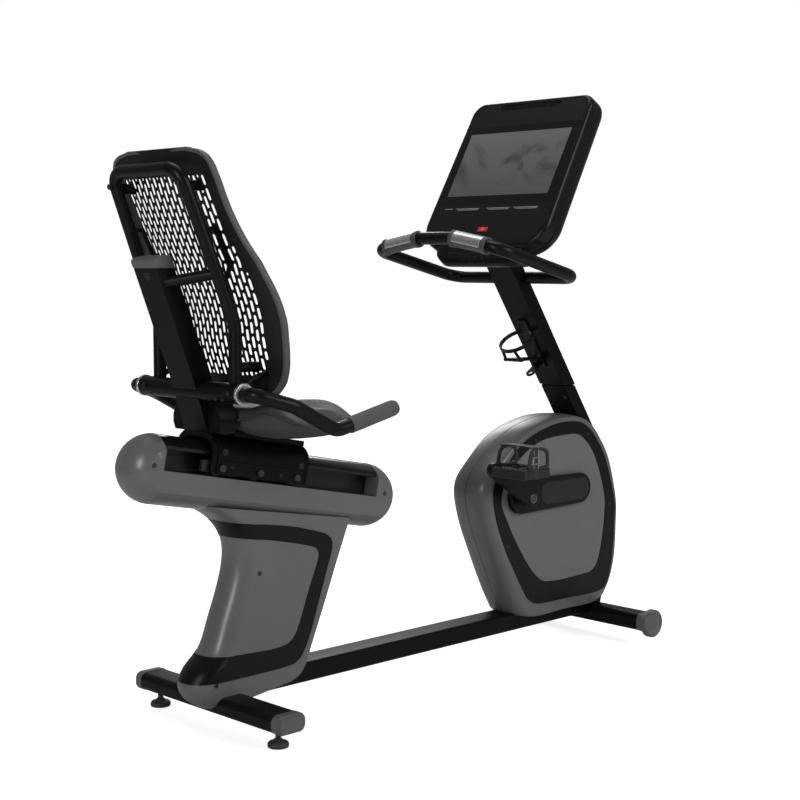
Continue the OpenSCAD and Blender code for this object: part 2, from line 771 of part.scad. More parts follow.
cage_r = 43;
cage_out = cage_r + 5.6;
module bottle_cage() {
    color("#2c2e30") placed() on_post_rear() union() {
        translate([-13, -8, 0]) cube([26, 152, 5]);
        translate([0, 106, cage_out]) rotate([-90, 0, 0]) difference() {
            cylinder(h = 9, r = cage_r + 5);
            translate([0, 0, -1]) cylinder(h = 11, r = cage_r);
        }
        for (a = [-1, 1]) {
            bar([a * 9, 22, 4.6], [a * 26, 78, 86], 7);
            bar([a * 26, 74, 86], [a * 20, 111, 89], 8);
        }
        bar([-31, 77, 86], [31, 77, 86], 9);
        translate([0, 6, 51]) rotate([-90, 0, 0]) difference() {
            union() {
                translate([-12, -1, 0]) cube([24, 52, 5]);
                translate([0, 0.5, 0]) cylinder(h = 5, r = 12.6);
            }
            translate([0, 0, -1]) cylinder(h = 7, r = 7);
        }
    }
}

// ---- seat ----

carriage_half = rail_half_w + 4.5;
carriage_in = carriage_half - 5;
carriage_top = 92;
carriage_bottom = track_h + 5;
roller_r = 18;

module carriage_section(half, top, r) {
    translate([-half, carriage_bottom]) square([2 * half, top - r - carriage_bottom]);
    translate([-half + r, carriage_bottom]) square([2 * half - 2 * r, top - carriage_bottom]);
    for (a = [-1, 1]) translate([a * (half - r), top - r]) circle(r, $fn = 64);
}

module seat_carriage() {
    color("#1c1d1f") placed() on_rail() difference() {
        translate([carriage_s, 0, 0]) rotate([90, 0, 90]) linear_extrude(height = carriage_l)
            difference() {
                carriage_section(carriage_half, carriage_top, 40);
                translate([0, -1]) carriage_section(carriage_in, carriage_top - 11 + 1, 36);
            }
        for (s = roller_places) translate([s, 0, track_h + roller_r + 0.3]) rotate([90, 0, 0])
            cylinder(h = 200, d = 12 + 2 * fit, center = true);
    }
}

roller_places = [for (k = [0, 0.5, 1]) carriage_s + 30 + k * (carriage_l - 60)];

module carriage_rollers() {
    color("#3a3c3e") placed() on_rail() both() for (s = roller_places)
        translate([s, 22, track_h + roller_r + 0.3]) rotate([-90, 0, 0]) {
            cylinder(h = 24, r = roller_r);
            cylinder(h = carriage_half - 22 + 2, d = 12);
            translate([0, 0, carriage_half - 22]) cylinder(h = 6, d = 17, $fn = 6);
        }
}

bracket_h = 12;
bracket_s = carriage_s + 62;

// the plate under the cushion and the arched gusset behind it
module seat_bracket() {
    color("#1c1d1f") placed() difference() {
        union() {
            on_rail() translate([bracket_s, -48, carriage_top])
                cube([carriage_l - 70, 96, bracket_h]);
            translate([-46, 0, 0]) rotate([90, 0, 90]) linear_extrude(height = 45)
                polygon([[-76, 655], [-84, 672], [-84, 690], [-74, 710], [-60, 732],
                    [60, 732], [74, 710], [84, 690], [84, 672], [76, 655]]);
        }
        on_rail() translate([-50, -300, -200]) cube([900, 600, 200 + carriage_top]);
        slab(-spine_w / 2 - fit, spine_w / 2 + fit) translate([fit, 0]) spine_side();
        translate([cross_x, 0, cross_z]) rotate([90, 0, 0])
            cylinder(h = 300, d = cross_d + 2 * fit, center = true);
    }
}

// the cushion, seen from above, forwards from its rear edge
cushion_back = 0;
cushion_outline = closed_curve([
    [0, 0], [4, 120], [38, 184], [110, 208], [180, 206], [226, 194], [284, 148], [336, 86],
    [361, 0], [336, -86], [284, -148], [226, -194], [180, -206], [110, -208], [38, -184],
    [4, -120]], 2);
cushion_mid = [170, 0];
function near(v, w) = exp(-(v * v) / (w * w));
function ramp(v) = min(1, max(0, v));
function seat_top(x, y) = 684
    + 13 * near(abs(y) - 150, 42) * ramp((290 - x) / 80)
    + 18 * near(y, 52) * ramp((x - 90) / 150)
    + 34 * near(x, 52) + 14 * near(x, 70) * ramp((abs(y) - 110) / 60);
function seat_bottom(x, y) = 630 + 26 * near(x + 10, 90) + 12 * near(x - 370, 70)
    + 16 * ramp((abs(y) - 90) / 130);
function seat_ring(rho, up) = [for (p = cushion_outline)
    let (x = cushion_mid[0] + (p[0] - cushion_mid[0]) * rho, y = p[1] * rho,
        t = seat_top(x, y), b = seat_bottom(x, y), m = b + (t - b) * 0.52,
        h = sqrt(max(0, 1 - pow(rho, 5))))
    [x + cushion_back, y, up ? m + (t - m) * h : m - (m - b) * h]];
seat_steps = [0.08, 0.3, 0.5, 0.68, 0.82, 0.91, 0.965, 0.99];

module seat_cushion() {
    color("#6a6d70") placed() difference() {
        skin(concat([for (q = seat_steps) seat_ring(q, false)], [seat_ring(1, true)],
            [for (k = [len(seat_steps) - 1 : -1 : 0]) seat_ring(seat_steps[k], true)]));
        on_rail() translate([-50, -300, -200])
            cube([900, 600, 200 + carriage_top + bracket_h + 0.3]);
        translate([-60, -140, 600]) cube([60 - 0.5, 280, 200]);
        slab(-spine_w / 2 - fit, spine_w / 2 + fit) translate([fit, 0]) spine_side();
    }
}

// ---- seat spine ----

spine_bend_z = 768;
spine_low_slope = 0.31;
spine_high_slope = 0.384;
spine_ref_x = -82;
spine_front_slope = 0.4;
function spine_rear(z) = spine_ref_x
    - (z - spine_bend_z) * (z > spine_bend_z ? spine_high_slope : spine_low_slope);
function spine_front(z) = spine_rear(spine_top) + spine_d + (spine_top - z) * spine_front_slope;

cross_x = spine_rear(cross_z) + cross_d / 2 - 1;

module spine_side() {
    z0 = 600;
    polygon([[spine_rear(z0), z0], [spine_rear(spine_bend_z), spine_bend_z],
        [spine_rear(spine_top), spine_top], [spine_front(spine_top), spine_top],
        [spine_front(z0), z0]]);
}

module seat_spine() {
    color("#1c1d1f") placed() difference() {
        slab(-spine_w / 2, spine_w / 2) spine_side();
        on_rail() translate([-100, -100, -200]) cube([900, 200, 200 + carriage_top]);
        translate([cross_x, 0, cross_z]) rotate([90, 0, 0])
            cylinder(h = spine_w + 2, d = cross_d + 2 * fit, center = true);
        on_rail() translate([bracket_s - fit, -48 - fit, carriage_top])
            cube([carriage_l, 96 + 2 * fit, bracket_h + fit]);
    }
}

module spine_cap() {
    color("#3c3e40") placed() slab(-spine_w / 2 - 2, spine_w / 2 + 2)
        polygon([[spine_rear(spine_top) - 2, spine_top],
            [spine_rear(spine_top) - 8, spine_top + 16],
            [spine_rear(spine_top), spine_top + 23],
            [spine_front(spine_top) - 12, spine_top + 28],
            [spine_front(spine_top) - 5, spine_top + 22],
            [spine_front(spine_top) + 2, spine_top]]);
}

module cross_tube() {
    color("#1c1d1f") placed() translate([cross_x, 0, cross_z]) rotate([90, 0, 0]) difference() {
        cylinder(h = 2 * cross_half, d = cross_d, center = true);
        for (a = [-1, 1]) translate([0, 0, a * (cross_half - 30 + 1)])
            cylinder(h = 62, d = handle_d + 2 * fit, center = true);
    }
}

module handle_collars() {
    color("#a9acae") placed() both() translate([cross_x, cross_half, cross_z]) rotate([-90, 0, 0])
        difference() {
            cylinder(h = 8, d = cross_d + 4);
            translate([0, 0, -1]) cylinder(h = 10, d = handle_d + 2 * fit);
        }
}

handle_path = [[cross_x, cross_half - 58, cross_z], [cross_x, 214, cross_z],
    [22, grip_y - 6, cross_z - 24], [134, grip_y, cross_z - 83], [305, grip_y, cross_z - 44]];
handle_bends = [0, 27, 60, 45, 0];
grip_cover_l = 142;

module side_handles() {
    color("#1c1d1f") placed() both() bent(handle_path, handle_bends, handle_d);
}

module handle_grips() {
    a = handle_path[4];
    u = unit(handle_path[4] - handle_path[3]);
    color("#77797b") placed() both() difference() {
        bar(a - u * (grip_cover_l - 4), a + u * 4, handle_d + 5);
        bar(a - u * grip_cover_l, a + u * 0.2, handle_d + 2 * fit);
    }
}

// ---- backrest ----

back_low_x = -44;
back_low_y = 134;
back_bend_z = 890;
back_top_z = 1208;
back_top_y = 120;
back_x_top = back_low_x - (back_top_z - back_bend_z) * 0.4;
back_path = [[back_low_x, back_low_y, cross_z + 12], [back_low_x, back_low_y, back_bend_z],
    [back_x_top, back_top_y, back_top_z], [back_x_top, 0, back_top_z]];
brace_z = 996;

module back_frame() {
    color("#1c1d1f") placed() difference() {
        union() {
            both() bent(back_path, [0, 80, 42, 0], back_tube_d);
            both() bar([spine_rear(brace_z) + 24, spine_w / 2 - 10, brace_z - 20],
                [back_low_x - (brace_z - back_bend_z) * 0.4, back_low_y - 4, brace_z],
                back_tube_d - 4);
        }
        slab(-spine_w / 2 - 1, spine_w / 2 + 1) spine_side();
        translate([cross_x, 0, cross_z]) rotate([90, 0, 0])
            cylinder(h = 400, d = cross_d, center = true);
    }
}

// half width of the panel and the place of its side edges, by height
panel_width = [[726, 107], [732, 133], [744, 160], [765, 185], [800, 204], [844, 213.5],
    [913, 216], [968, 210], [1019, 196], [1070, 181], [1124, 173], [1185, 174], [1215, 171],
    [1233, 159], [1243, 139], [1250, 104]];
panel_edge = [[726, 48], [844, 27], [913, 13], [1019, -31], [1070, -61], [1124, -88.5],
    [1185, -116.5], [1215, -130], [1250, -140]];
panel_hollow = [[726, 20], [844, 34], [968, 30], [1124, 16], [1250, 6]];
panel_levels = [726, 731, 738, 748, 762, 780, 802, 826, 852, 880, 908, 936, 964, 992, 1020,
    1048, 1076, 1104, 1132, 1160, 1184, 1204, 1219, 1231, 1240, 1246, 1250];

function panel_at(z, v, out) =
    let (w = line_at(panel_width, z), x = line_at(panel_edge, z), d = line_at(panel_hollow, z))
    [x - d * (1 - v * v) + out, w * v, z];

module panel_body(front, rear) {
    steps = [for (k = [-6 : 6]) k / 6];
    skin([for (z = panel_levels) concat(
        [for (v = steps) panel_at(z, v, rear)],
        [for (k = [len(steps) - 1 : -1 : 0]) panel_at(z, steps[k], front)])]);
}

module back_panel() {
    color("#222325") placed() panel_body(panel_t, 0);
}

// short arms from the tube frame to the panel
module panel_mounts() {
    color("#1c1d1f") placed() both() for (z = [800, 1174]) {
        t = max(0, (z - back_bend_z) / (back_top_z - back_bend_z));
        y = back_low_y - t * (back_low_y - back_top_y) - 3;
        x = back_low_x - max(0, z - back_bend_z) * 0.4;
        v = y / line_at(panel_width, z);
        difference() {
            bar([x, y, z], [panel_at(z, v, 9)[0], y, z], 22);
            bent(back_path, [0, 80, 42, 0], back_tube_d + 2 * fit);
            panel_body(60, -0.2);
        }
    }
}

// open flat brackets on the front of the tubes, level with the small of the back
module bracket_outline() {
    polygon([[-118, 1092], [-86, 1092], [-77, 1074], [-65, 1050], [-47, 1014], [-51, 996],
        [-80, 958]]);
}

module lumbar_brackets() {
    color("#1c1d1f") placed() both() difference() {
        slab(125.5, 131) difference() {
            bracket_outline();
            offset(delta = -9) bracket_outline();
        }
        bent(back_path, [0, 80, 42, 0], back_tube_d + 2 * fit);
        panel_body(60, -0.2);
    }
}

// ---- cranks and pedals ----

module crank_axle() {
    color("#3a3c3e") placed() at_crank() rotate([90, 0, 0])
        cylinder(h = 2 * arm_y, d = axle_d, center = true);
}

function pedal_at(side) = [crank_x + side * crank_l * cos(crank_angle),
    crank_z - side * crank_l * sin(crank_angle)];
arm_end_r = 18;
arm_root_r = 24;

// one crank arm on the left, pointing forwards and down
module crank_arm() {
    slab(arm_y, arm_y + arm_t) rotate(-crank_angle) union() {
        circle(arm_root_r);
        translate([crank_l, 0]) circle(arm_end_r);
        polygon([[0, -arm_root_r], [crank_l, -arm_end_r], [crank_l, arm_end_r], [0, arm_root_r]]);
    }
}

module crank_arms() {
    color("#2b2c2e") placed() at_crank() for (side = [-1, 1])
        rotate([0, side < 0 ? 180 : 0, 0]) mirror([0, side < 0 ? 1 : 0, 0])
            union() {
                crank_arm();
                rotate([0, crank_angle, 0]) translate([crank_l, arm_y + arm_t, 0]) rotate([-90, 0, 0])
                    cylinder(h = running + pedal_l - 6, d = spindle_d);
                translate([0, arm_y + arm_t, 0]) rotate([-90, 0, 0]) cylinder(h = 3, d = 20);
            }
}

pedal_y = arm_y + arm_t + running;
pedal_back = -24;
pedal_front = 72;
pedal_low = -15;
pedal_high = 12;

module pedal(side) {
    p = pedal_at(side);
    color("#1a1b1d") placed() translate([p[0], 0, p[1]]) mirror([0, side < 0 ? 1 : 0, 0])
        difference() {
            union() {
                translate([pedal_back, pedal_y, pedal_low])
                    cube([pedal_front - pedal_back, pedal_l, pedal_high - pedal_low]);
            }
            for (a = [0, 1]) translate([18 + 26 * a, pedal_y + 14, pedal_low - 1])
                cube([18, pedal_l - 28, pedal_high - pedal_low + 2]);
            translate([0, pedal_y - 1, 0]) rotate([-90, 0, 0])
                cylinder(h = pedal_l - 3, d = spindle_d + 2 * pin_fit);
        }
}
module pedal_left() { pedal(1); }
module pedal_right() { pedal(-1); }

loop_t = 5;
loop_h = 52;
module strap(side) {
    p = pedal_at(side);
    color("#2c2e30") placed() translate([p[0], 0, p[1]]) mirror([0, side < 0 ? 1 : 0, 0]) union() {
        for (y = [pedal_y, pedal_y + pedal_l - loop_t])
            slab(y, y + loop_t) difference() {
                translate([-6, pedal_high]) square([pedal_front + 2, loop_h]);
                translate([4, pedal_high + 6]) square([pedal_front - 18, loop_h - 14]);
            }
        translate([0, pedal_y, pedal_high + loop_h - 5]) cube([42, pedal_l, 5]);
    }
}
module strap_left() { strap(1); }
module strap_right() { strap(-1); }

rear_stabilizer();
rear_end_caps();
levelling_feet();
main_beam();
front_stabilizer();
front_end_caps();
wheel_brackets();
wheel_left();
wheel_right();
pedestal_shroud();
pedestal_band();
rail_housing();
rail_cover();
seat_rail();
drive_shroud_left();
drive_shroud_right();
side_rings();
side_panels();
crank_bosses();
front_strut();
drive_frame();
flywheel();
post_socket();
console_post();
bottle_cage();
console_handlebar();
grip_sleeves();
pulse_plates();
console_back();
console_face();
console_screen();
stop_button();
seat_carriage();
carriage_rollers();
seat_bracket();
seat_cushion();
seat_spine();
spine_cap();
back_frame();
back_panel();
panel_mounts();
lumbar_brackets();
cross_tube();
handle_collars();
side_handles();
handle_grips();
crank_axle();
crank_arms();
pedal_left();
pedal_right();
strap_left();
strap_right();
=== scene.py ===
"""A recumbent exercise bike's looks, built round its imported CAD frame."""

import json
from contextlib import contextmanager
from math import acos, asin, cos, degrees, exp, pi, radians, sin, sqrt, tan

import bmesh
import bpy
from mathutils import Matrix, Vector


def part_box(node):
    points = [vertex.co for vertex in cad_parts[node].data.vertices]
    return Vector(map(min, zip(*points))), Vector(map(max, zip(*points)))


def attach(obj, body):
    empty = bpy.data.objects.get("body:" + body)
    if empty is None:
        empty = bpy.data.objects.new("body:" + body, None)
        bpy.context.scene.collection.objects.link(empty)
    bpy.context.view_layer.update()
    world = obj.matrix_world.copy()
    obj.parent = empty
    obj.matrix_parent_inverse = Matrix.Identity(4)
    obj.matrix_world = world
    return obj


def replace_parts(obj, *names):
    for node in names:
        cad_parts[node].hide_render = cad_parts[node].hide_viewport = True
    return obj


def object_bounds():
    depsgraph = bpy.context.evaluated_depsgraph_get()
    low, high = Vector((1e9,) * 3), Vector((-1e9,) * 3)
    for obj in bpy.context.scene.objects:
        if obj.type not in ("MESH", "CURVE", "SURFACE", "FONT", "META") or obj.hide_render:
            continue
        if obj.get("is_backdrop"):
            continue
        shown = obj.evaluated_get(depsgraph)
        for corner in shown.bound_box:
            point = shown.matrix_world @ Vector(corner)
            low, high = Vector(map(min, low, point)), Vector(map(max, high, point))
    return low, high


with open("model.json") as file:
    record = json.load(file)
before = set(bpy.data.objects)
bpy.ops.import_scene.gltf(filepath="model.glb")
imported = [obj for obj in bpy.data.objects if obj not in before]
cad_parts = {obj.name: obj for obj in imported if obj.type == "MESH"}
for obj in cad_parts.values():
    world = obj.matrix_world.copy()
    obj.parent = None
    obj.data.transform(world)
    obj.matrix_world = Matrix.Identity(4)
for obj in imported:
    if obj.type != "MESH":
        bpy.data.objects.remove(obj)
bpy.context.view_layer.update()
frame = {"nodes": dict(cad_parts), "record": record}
NODES = frame["nodes"]

# ---- the machine's own frame: millimetres, x forwards from the rear stabilizer's centre ----

rear_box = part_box("rear_stabilizer")
REAR_X = (rear_box[0][0] + rear_box[1][0]) / 2
MM = 0.001
SIDES = ((1, "left"), (-1, "right"))


def at(x, y, z):
    return Vector((x * MM + REAR_X, y * MM, z * MM))


# ---- driving sizes, the same as the CAD part's ----

FRONT_X = 1272
CRANK_X = FRONT_X - 347
CRANK_Z = 419
CRANK_L = 165
CRANK_ANGLE = radians(31.4)
ARM_Y = 96
ARM_T = 20
SHROUD_HALF_W = 62
PLATE_T = 2.5
BOSS_Y = 80
RAIL_BACK = 165
RAIL_Z = 587
RAIL_HALF_W = 60
RAIL_SLOPE = radians(11.1)
CARRIAGE_S = 105
CARRIAGE_L = 272
CROSS_X = -55
CROSS_Z = 747
HANDLE_D = 31
GRIP_Y = 250
POST_LEAN = radians(34.2)
CONSOLE_TILT = radians(29.4)
CONSOLE_W = 420
CONSOLE_H = 440
BAR_D = 31

# ---- materials ----


class Nodes:
    """A short way to add, set and join the nodes of a material or a world."""

    def __init__(self, owner, end="Principled BSDF"):
        owner.use_nodes = True
        self.owner, self.tree = owner, owner.node_tree
        self.end = self.tree.nodes[end]
        self.place = self.add("ShaderNodeTexCoord", "Object")

    def put(self, node, values):
        """Joins each socket to a node's output, or sets it to a number or colour."""
        for key, value in values.items():
            socket = node.inputs[key]
            if isinstance(value, bpy.types.NodeSocket):
                self.tree.links.new(value, socket)
            else:
                socket.default_value = (*value, 1) if socket.type == "RGBA" else value

    def add(self, kind, out, values=None, **settings):
        node = self.tree.nodes.new(kind)
        for key, value in settings.items():
            setattr(node, key, value)
        self.put(node, values or {})
        return node.outputs[out]

    def noise(self, scale, detail=2.0, rough=0.5, stretch=None, twist=0.0):
        place = self.place
        if stretch:
            place = self.add("ShaderNodeMapping", "Vector", {"Vector": place, "Scale": stretch})
        return self.add("ShaderNodeTexNoise", "Fac", {"Vector": place, "Scale": scale, "Detail": detail,
                                                      "Roughness": rough, "Distortion": twist})

    def cells(self, scale):
        return self.add("ShaderNodeTexVoronoi", "Distance", {"Vector": self.place, "Scale": scale},
                        feature="DISTANCE_TO_EDGE")

    def spread(self, value, low, high, start=0.3, end=0.7, **settings):
        return self.add("ShaderNodeMapRange", "Result",
                        {"Value": value, "From Min": start, "From Max": end, "To Min": low,
                         "To Max": high}, **settings)

    def times(self, first, second):
        return self.add("ShaderNodeMath", 0, {0: first, 1: second}, operation="MULTIPLY")

    def between(self, value, first, second):
        return self.add("ShaderNodeMix", "Result", {"Factor": value, "A": first, "B": second},
                        data_type="RGBA")

    def edges(self, radius):
        """Rounded normals, and a mask that is 1 on sharp edges."""
        rounded = self.add("ShaderNodeBevel", "Normal", {"Radius": radius}, samples=4)
        flat = self.add("ShaderNodeNewGeometry", "Normal")
        dot = self.add("ShaderNodeVectorMath", "Value", {0: rounded, 1: flat},
                       operation="DOT_PRODUCT")
        return rounded, self.spread(dot, 1, 0, 0.72, 0.97)

    def bump(self, height, strength, distance, normal=None):
        values = {"Height": height, "Strength": strength, "Distance": distance}
        if normal is not None:
            values["Normal"] = normal
        return self.add("ShaderNodeBump", "Normal", values)

    def finish(self, colour, rough, normal, metal=0.0, sheen=0.0, specular=0.5):
        self.put(self.end, {"Base Color": colour, "Roughness": rough, "Normal": normal,
                            "Metallic": metal, "Sheen Weight": sheen,
                            "Specular IOR Level": specular})
        return self.owner


M = {}


def material_nodes(name):
    """Starts a material, kept in M by its name."""
    M[name] = bpy.data.materials.new(name)
    return Nodes(M[name])


def shade(colour, factor):
    return tuple(c * factor for c in colour)


def surface(name, colour, rough, grain=1100, depth=0.00006, vary=0.1, edge=0.0014,
            wear=1.25, stretch=None, spread=0.08, **finish):
    """A moulded, painted or machined surface: uneven colour and gloss, grain, soft worn edges."""
    n = material_nodes(name)
    normal, mask = n.edges(edge)
    even = n.between(n.spread(n.noise(7, 5, 0.6), 0, 1), shade(colour, 1 - vary),
                     shade(colour, 1 + vary))
    worn = n.times(mask, n.spread(n.noise(38, 4, 0.7), 0.1, 0.6))
    n.finish(n.between(worn, even, shade(colour, wear)),
             n.spread(n.noise(22, 5, 0.65), rough - spread / 2, rough + spread / 2),
             n.bump(n.noise(grain, 3, 0.6, stretch), 0.35, depth, normal), **finish)


def leather(name, colour, rough):
    """Grained vinyl: small soft cells with creases between them, with painted shade darkening the
    colour in the creases.
    """
    n = material_nodes(name)
    grain = n.spread(n.cells(420), 0, 1, 0.0, 0.35)
    even = n.between(n.spread(n.noise(11, 4), 0, 1), shade(colour, 0.9), shade(colour, 1.1))
    # painted shade: the colour is darker in the creases between the cells
    painted_crease_shade = n.spread(n.spread(grain, 1, 0, 0, 0.35), 0, 0.3, 0, 1)
    normal = n.bump(n.noise(2200, 2), 0.2, 0.00004, n.bump(grain, 0.45, 0.00016))
    n.finish(n.between(painted_crease_shade, even, shade(colour, 0.6)),
             n.spread(n.noise(30, 4), rough - 0.05, rough + 0.07), normal, specular=0.2)


def foam(name, colour):
    n = material_nodes(name)
    n.finish(n.between(n.spread(n.noise(16, 4), 0, 1), shade(colour, 0.9), shade(colour, 1.1)),
             n.spread(n.noise(60, 3), 0.72, 0.85),
             n.bump(n.spread(n.cells(900), 0, 1, 0.0, 0.3), 0.5, 0.00025), sheen=0.05,
             specular=0.25)


def brushed(name, colour, rough, stretch):
    n = material_nodes(name)
    lines = n.noise(900, 3, 0.6, stretch)
    n.finish(n.between(n.spread(lines, 0, 1), shade(colour, 0.88), shade(colour, 1.08)),
             n.spread(lines, rough - 0.06, rough + 0.08),
             n.bump(lines, 0.15, 0.00003, n.edges(0.0008)[0]), metal=1.0)


def screen_glass(name):
    """A display at rest: dark glass with a painted reflection that is paler upwards and a band of
    darker mottling, all given out as a faint painted glow.
    """
    n = material_nodes(name)
    height = n.add("ShaderNodeSeparateXYZ", "Z", {0: n.place})
    low, high = (corner[2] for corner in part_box("console_screen"))
    # painted reflection: the glass colour grows paler towards the top of the screen
    glow = n.between(n.spread(height, 0, 1, low, high), (0.060, 0.062, 0.064),
                     (0.095, 0.098, 0.100))
    middle = n.spread(height, -1, 1, low, high)
    clear = n.spread(n.times(middle, middle), 0.75, 0, 0.02, 0.6)
    dark_mottle = n.spread(n.noise(5.5, 5, twist=2.2), 0, 1, 0.5, 0.62)
    base = n.between(n.times(dark_mottle, clear), glow, (0.026, 0.027, 0.029))
    # painted glow: the screen gives out its own colour as light though it is switched off
    n.put(n.end, {"Emission Color": base, "Emission Strength": 0.55})
    n.finish(base, n.spread(n.noise(12, 2), 0.2, 0.26), n.bump(n.noise(6, 1), 0.02, 0.0001),
             specular=0.4)


surface("powder_black", (0.0045, 0.0045, 0.0048), 0.36, 1500, 0.00005, wear=2.0, specular=0.12)
surface("frame_black", (0.006, 0.006, 0.0063), 0.34, 1500, wear=2.0, specular=0.18)
surface("shroud_grey", (0.135, 0.146, 0.142), 0.31, 1300, 0.00004, 0.04, edge=0.0012, wear=1.15,
        spread=0.05)
surface("trim_black", (0.0060, 0.0060, 0.0064), 0.34, 1300, 0.00003, edge=0.0008, wear=1.6,
        specular=0.18)
surface("cover_black", (0.009, 0.009, 0.0095), 0.2, 900, 0.00002, edge=0.0008, wear=1.5,
        specular=0.4)
surface("cap_grey", (0.110, 0.113, 0.116), 0.52, 1000, 0.00006)
surface("pad_rubber", (0.045, 0.046, 0.047), 0.62, 800, 0.0001)
surface("wheel_grey", (0.14, 0.143, 0.146), 0.5, 900, 0.00006)
surface("rail_metal", (0.022, 0.023, 0.024), 0.36, 900, 0.00004, stretch=(0.05, 1, 1), wear=2.2,
        metal=0.6)
surface("steel_dark", (0.16, 0.16, 0.165), 0.32, 1200, 0.00003, metal=1.0)
surface("cast_dark", (0.05, 0.05, 0.05), 0.5, 700, metal=0.8)
surface("panel_grey", (0.160, 0.170, 0.168), 0.55, 1500, 0.00012, 0.05, edge=0.0008, wear=1.1,
        spread=0.05)
surface("grip_dark", (0.010, 0.010, 0.0105), 0.56, 1000, 0.00008)
surface("grip_sleeve", (0.085, 0.086, 0.088), 0.5, 1000, 0.00008)
surface("console_black", (0.0075, 0.0077, 0.0082), 0.36, 1500, 0.00005, 0.06, edge=0.0012, wear=1.5,
        specular=0.25)
surface("bezel_black", (0.0085, 0.0088, 0.0094), 0.34, 1500, 0.00002, 0.05, edge=0.0008, wear=1.3,
        specular=0.25)
surface("border_glass", (0.0045, 0.0048, 0.0055), 0.16, 1500, 0.00001, 0.05, edge=0.0005, wear=1.2,
        specular=0.3)
surface("mark_white", (0.62, 0.60, 0.60), 0.4, 900, 0.00002)
surface("button_red", (0.74, 0.035, 0.045), 0.4, 900, 0.00003)
leather("seat_vinyl", (0.075, 0.077, 0.080), 0.6)
surface("seat_piping", (0.045, 0.046, 0.048), 0.5, 900, 0.00005)
surface("back_black", (0.0115, 0.0118, 0.0122), 0.42, 1400, 0.00006, 0.06, edge=0.0008, wear=1.4,
        specular=0.25)
surface("back_rim", (0.090, 0.092, 0.095), 0.5, 1400, 0.00006, 0.05)
brushed("collar_silver", (0.80, 0.80, 0.80), 0.3, (1, 0.05, 1))
brushed("sensor_steel", (0.86, 0.87, 0.87), 0.3, (1, 0.04, 1))
foam("foam_grey", (0.115, 0.117, 0.120))
surface("pedal_black", (0.012, 0.012, 0.0125), 0.42, 1200, 0.00008, wear=1.8)
surface("strap_grey", (0.020, 0.020, 0.021), 0.5, 1000, 0.0001)
surface("roller_dark", (0.03, 0.03, 0.03), 0.45, 900)
surface("bolt_steel", (0.055, 0.055, 0.058), 0.3, 1200, 0.00003, metal=0.9, wear=2.0)
surface("bolt_worn", (0.16, 0.16, 0.16), 0.35, 1200, 0.00003, metal=1.0)
surface("bolt_bright", (0.45, 0.45, 0.45), 0.28, 1200, 0.00003, metal=1.0)
# painted shade: near-black for the insides of seams, grooves and vents and the crank axle's centre
surface("painted_gap_shade", (0.004, 0.004, 0.004), 0.7)
# light grey for printed marks on the console, and for painted highlights along the toe straps
surface("print_and_highlight_grey", (0.38, 0.38, 0.40), 0.45)
screen_glass("screen_dark")

# ---- making pieces ----


def shown_object(name, data):
    obj = bpy.data.objects.new(name, data)
    bpy.context.scene.collection.objects.link(obj)
    return obj


def piece(name, mesh, material, body="frame", slot=None, angle=35):
    """A shown piece: an object for a mesh, with its material and its body. The slot is not used."""
    obj = shown_object(name, mesh)
    mesh.materials.clear()
    mesh.materials.append(M[material])
    mesh.polygons.foreach_set("use_smooth", [True] * len(mesh.polygons))
    mesh.set_sharp_from_angle(angle=radians(angle))
    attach(obj, body)
    slot or material
    return obj


@contextmanager
def editing(mesh, source=None, outward=True):
    """A bmesh, of the source if there is one, which ends up in the mesh."""
    work = bmesh.new()
    if source:
        work.from_mesh(source)
    yield work
    if outward:
        bmesh.ops.recalc_face_normals(work, faces=work.faces)
    work.to_mesh(mesh)
    work.free()


def mesh_of(name, points, faces, weld=True):
    mesh = bpy.data.meshes.new(name)
    mesh.from_pydata([tuple(p) for p in points], [], faces)
    mesh.validate()
    with editing(mesh, mesh) as work:
        if weld:
            bmesh.ops.remove_doubles(work, verts=work.verts, dist=1e-6)
    return mesh


def soften(obj, width=1.5, segments=3, angle=35):
    mod = obj.modifiers.new("edges", "BEVEL")
    mod.width = width * MM
    mod.segments = segments
    mod.limit_method = "ANGLE"
    mod.angle_limit = radians(angle)
    mod.harden_normals = True
    mod.use_clamp_overlap = True
    return obj


def loft(rings, close_ends=True, closed=True):
    """Faces through rings with the same count of points."""
    count = len(rings[0])
    points = [p for ring in rings for p in ring]
    faces = []
    for i in range(len(rings) - 1):
        for k in range(count if closed else count - 1):
            j = (k + 1) % count
            faces.append((i * count + k, i * count + j, (i + 1) * count + j, (i + 1) * count + k))
    if close_ends:
        faces.append(tuple(reversed(range(count))))
        faces.append(tuple((len(rings) - 1) * count + k for k in range(count)))
    return points, faces


def lofted(name, rings, material, body="frame", slot=None, angle=35, caps=True):
    return piece(name, mesh_of(name, *loft(rings, caps)), material, body, slot, angle)


def blend4(a, b, c, d, t):
    return 0.5 * (2 * b + (c - a) * t + (2 * a - 5 * b + 4 * c - d) * t * t
                  + (3 * b - a - 3 * c + d) * t * t * t)


def closed_curve(points, steps):
    """A closed smooth curve through the points, as the CAD part draws it."""
    p = [Vector(q) for q in points]
    n = len(p)
    return [blend4(p[i - 1], p[i], p[(i + 1) % n], p[(i + 2) % n], k / steps)
            for i in range(n) for k in range(steps)]


def line_at(rows, z):
    """The value at z of a smooth line through rows (z, value), z rising."""
    i = max([k for k in range(len(rows) - 1) if rows[k][0] <= z or k == 0])
    n = len(rows) - 1
    t = (z - rows[i][0]) / (rows[i + 1][0] - rows[i][0])
    return blend4(rows[max(i - 1, 0)][1], rows[i][1], rows[i + 1][1], rows[min(i + 2, n)][1], t)


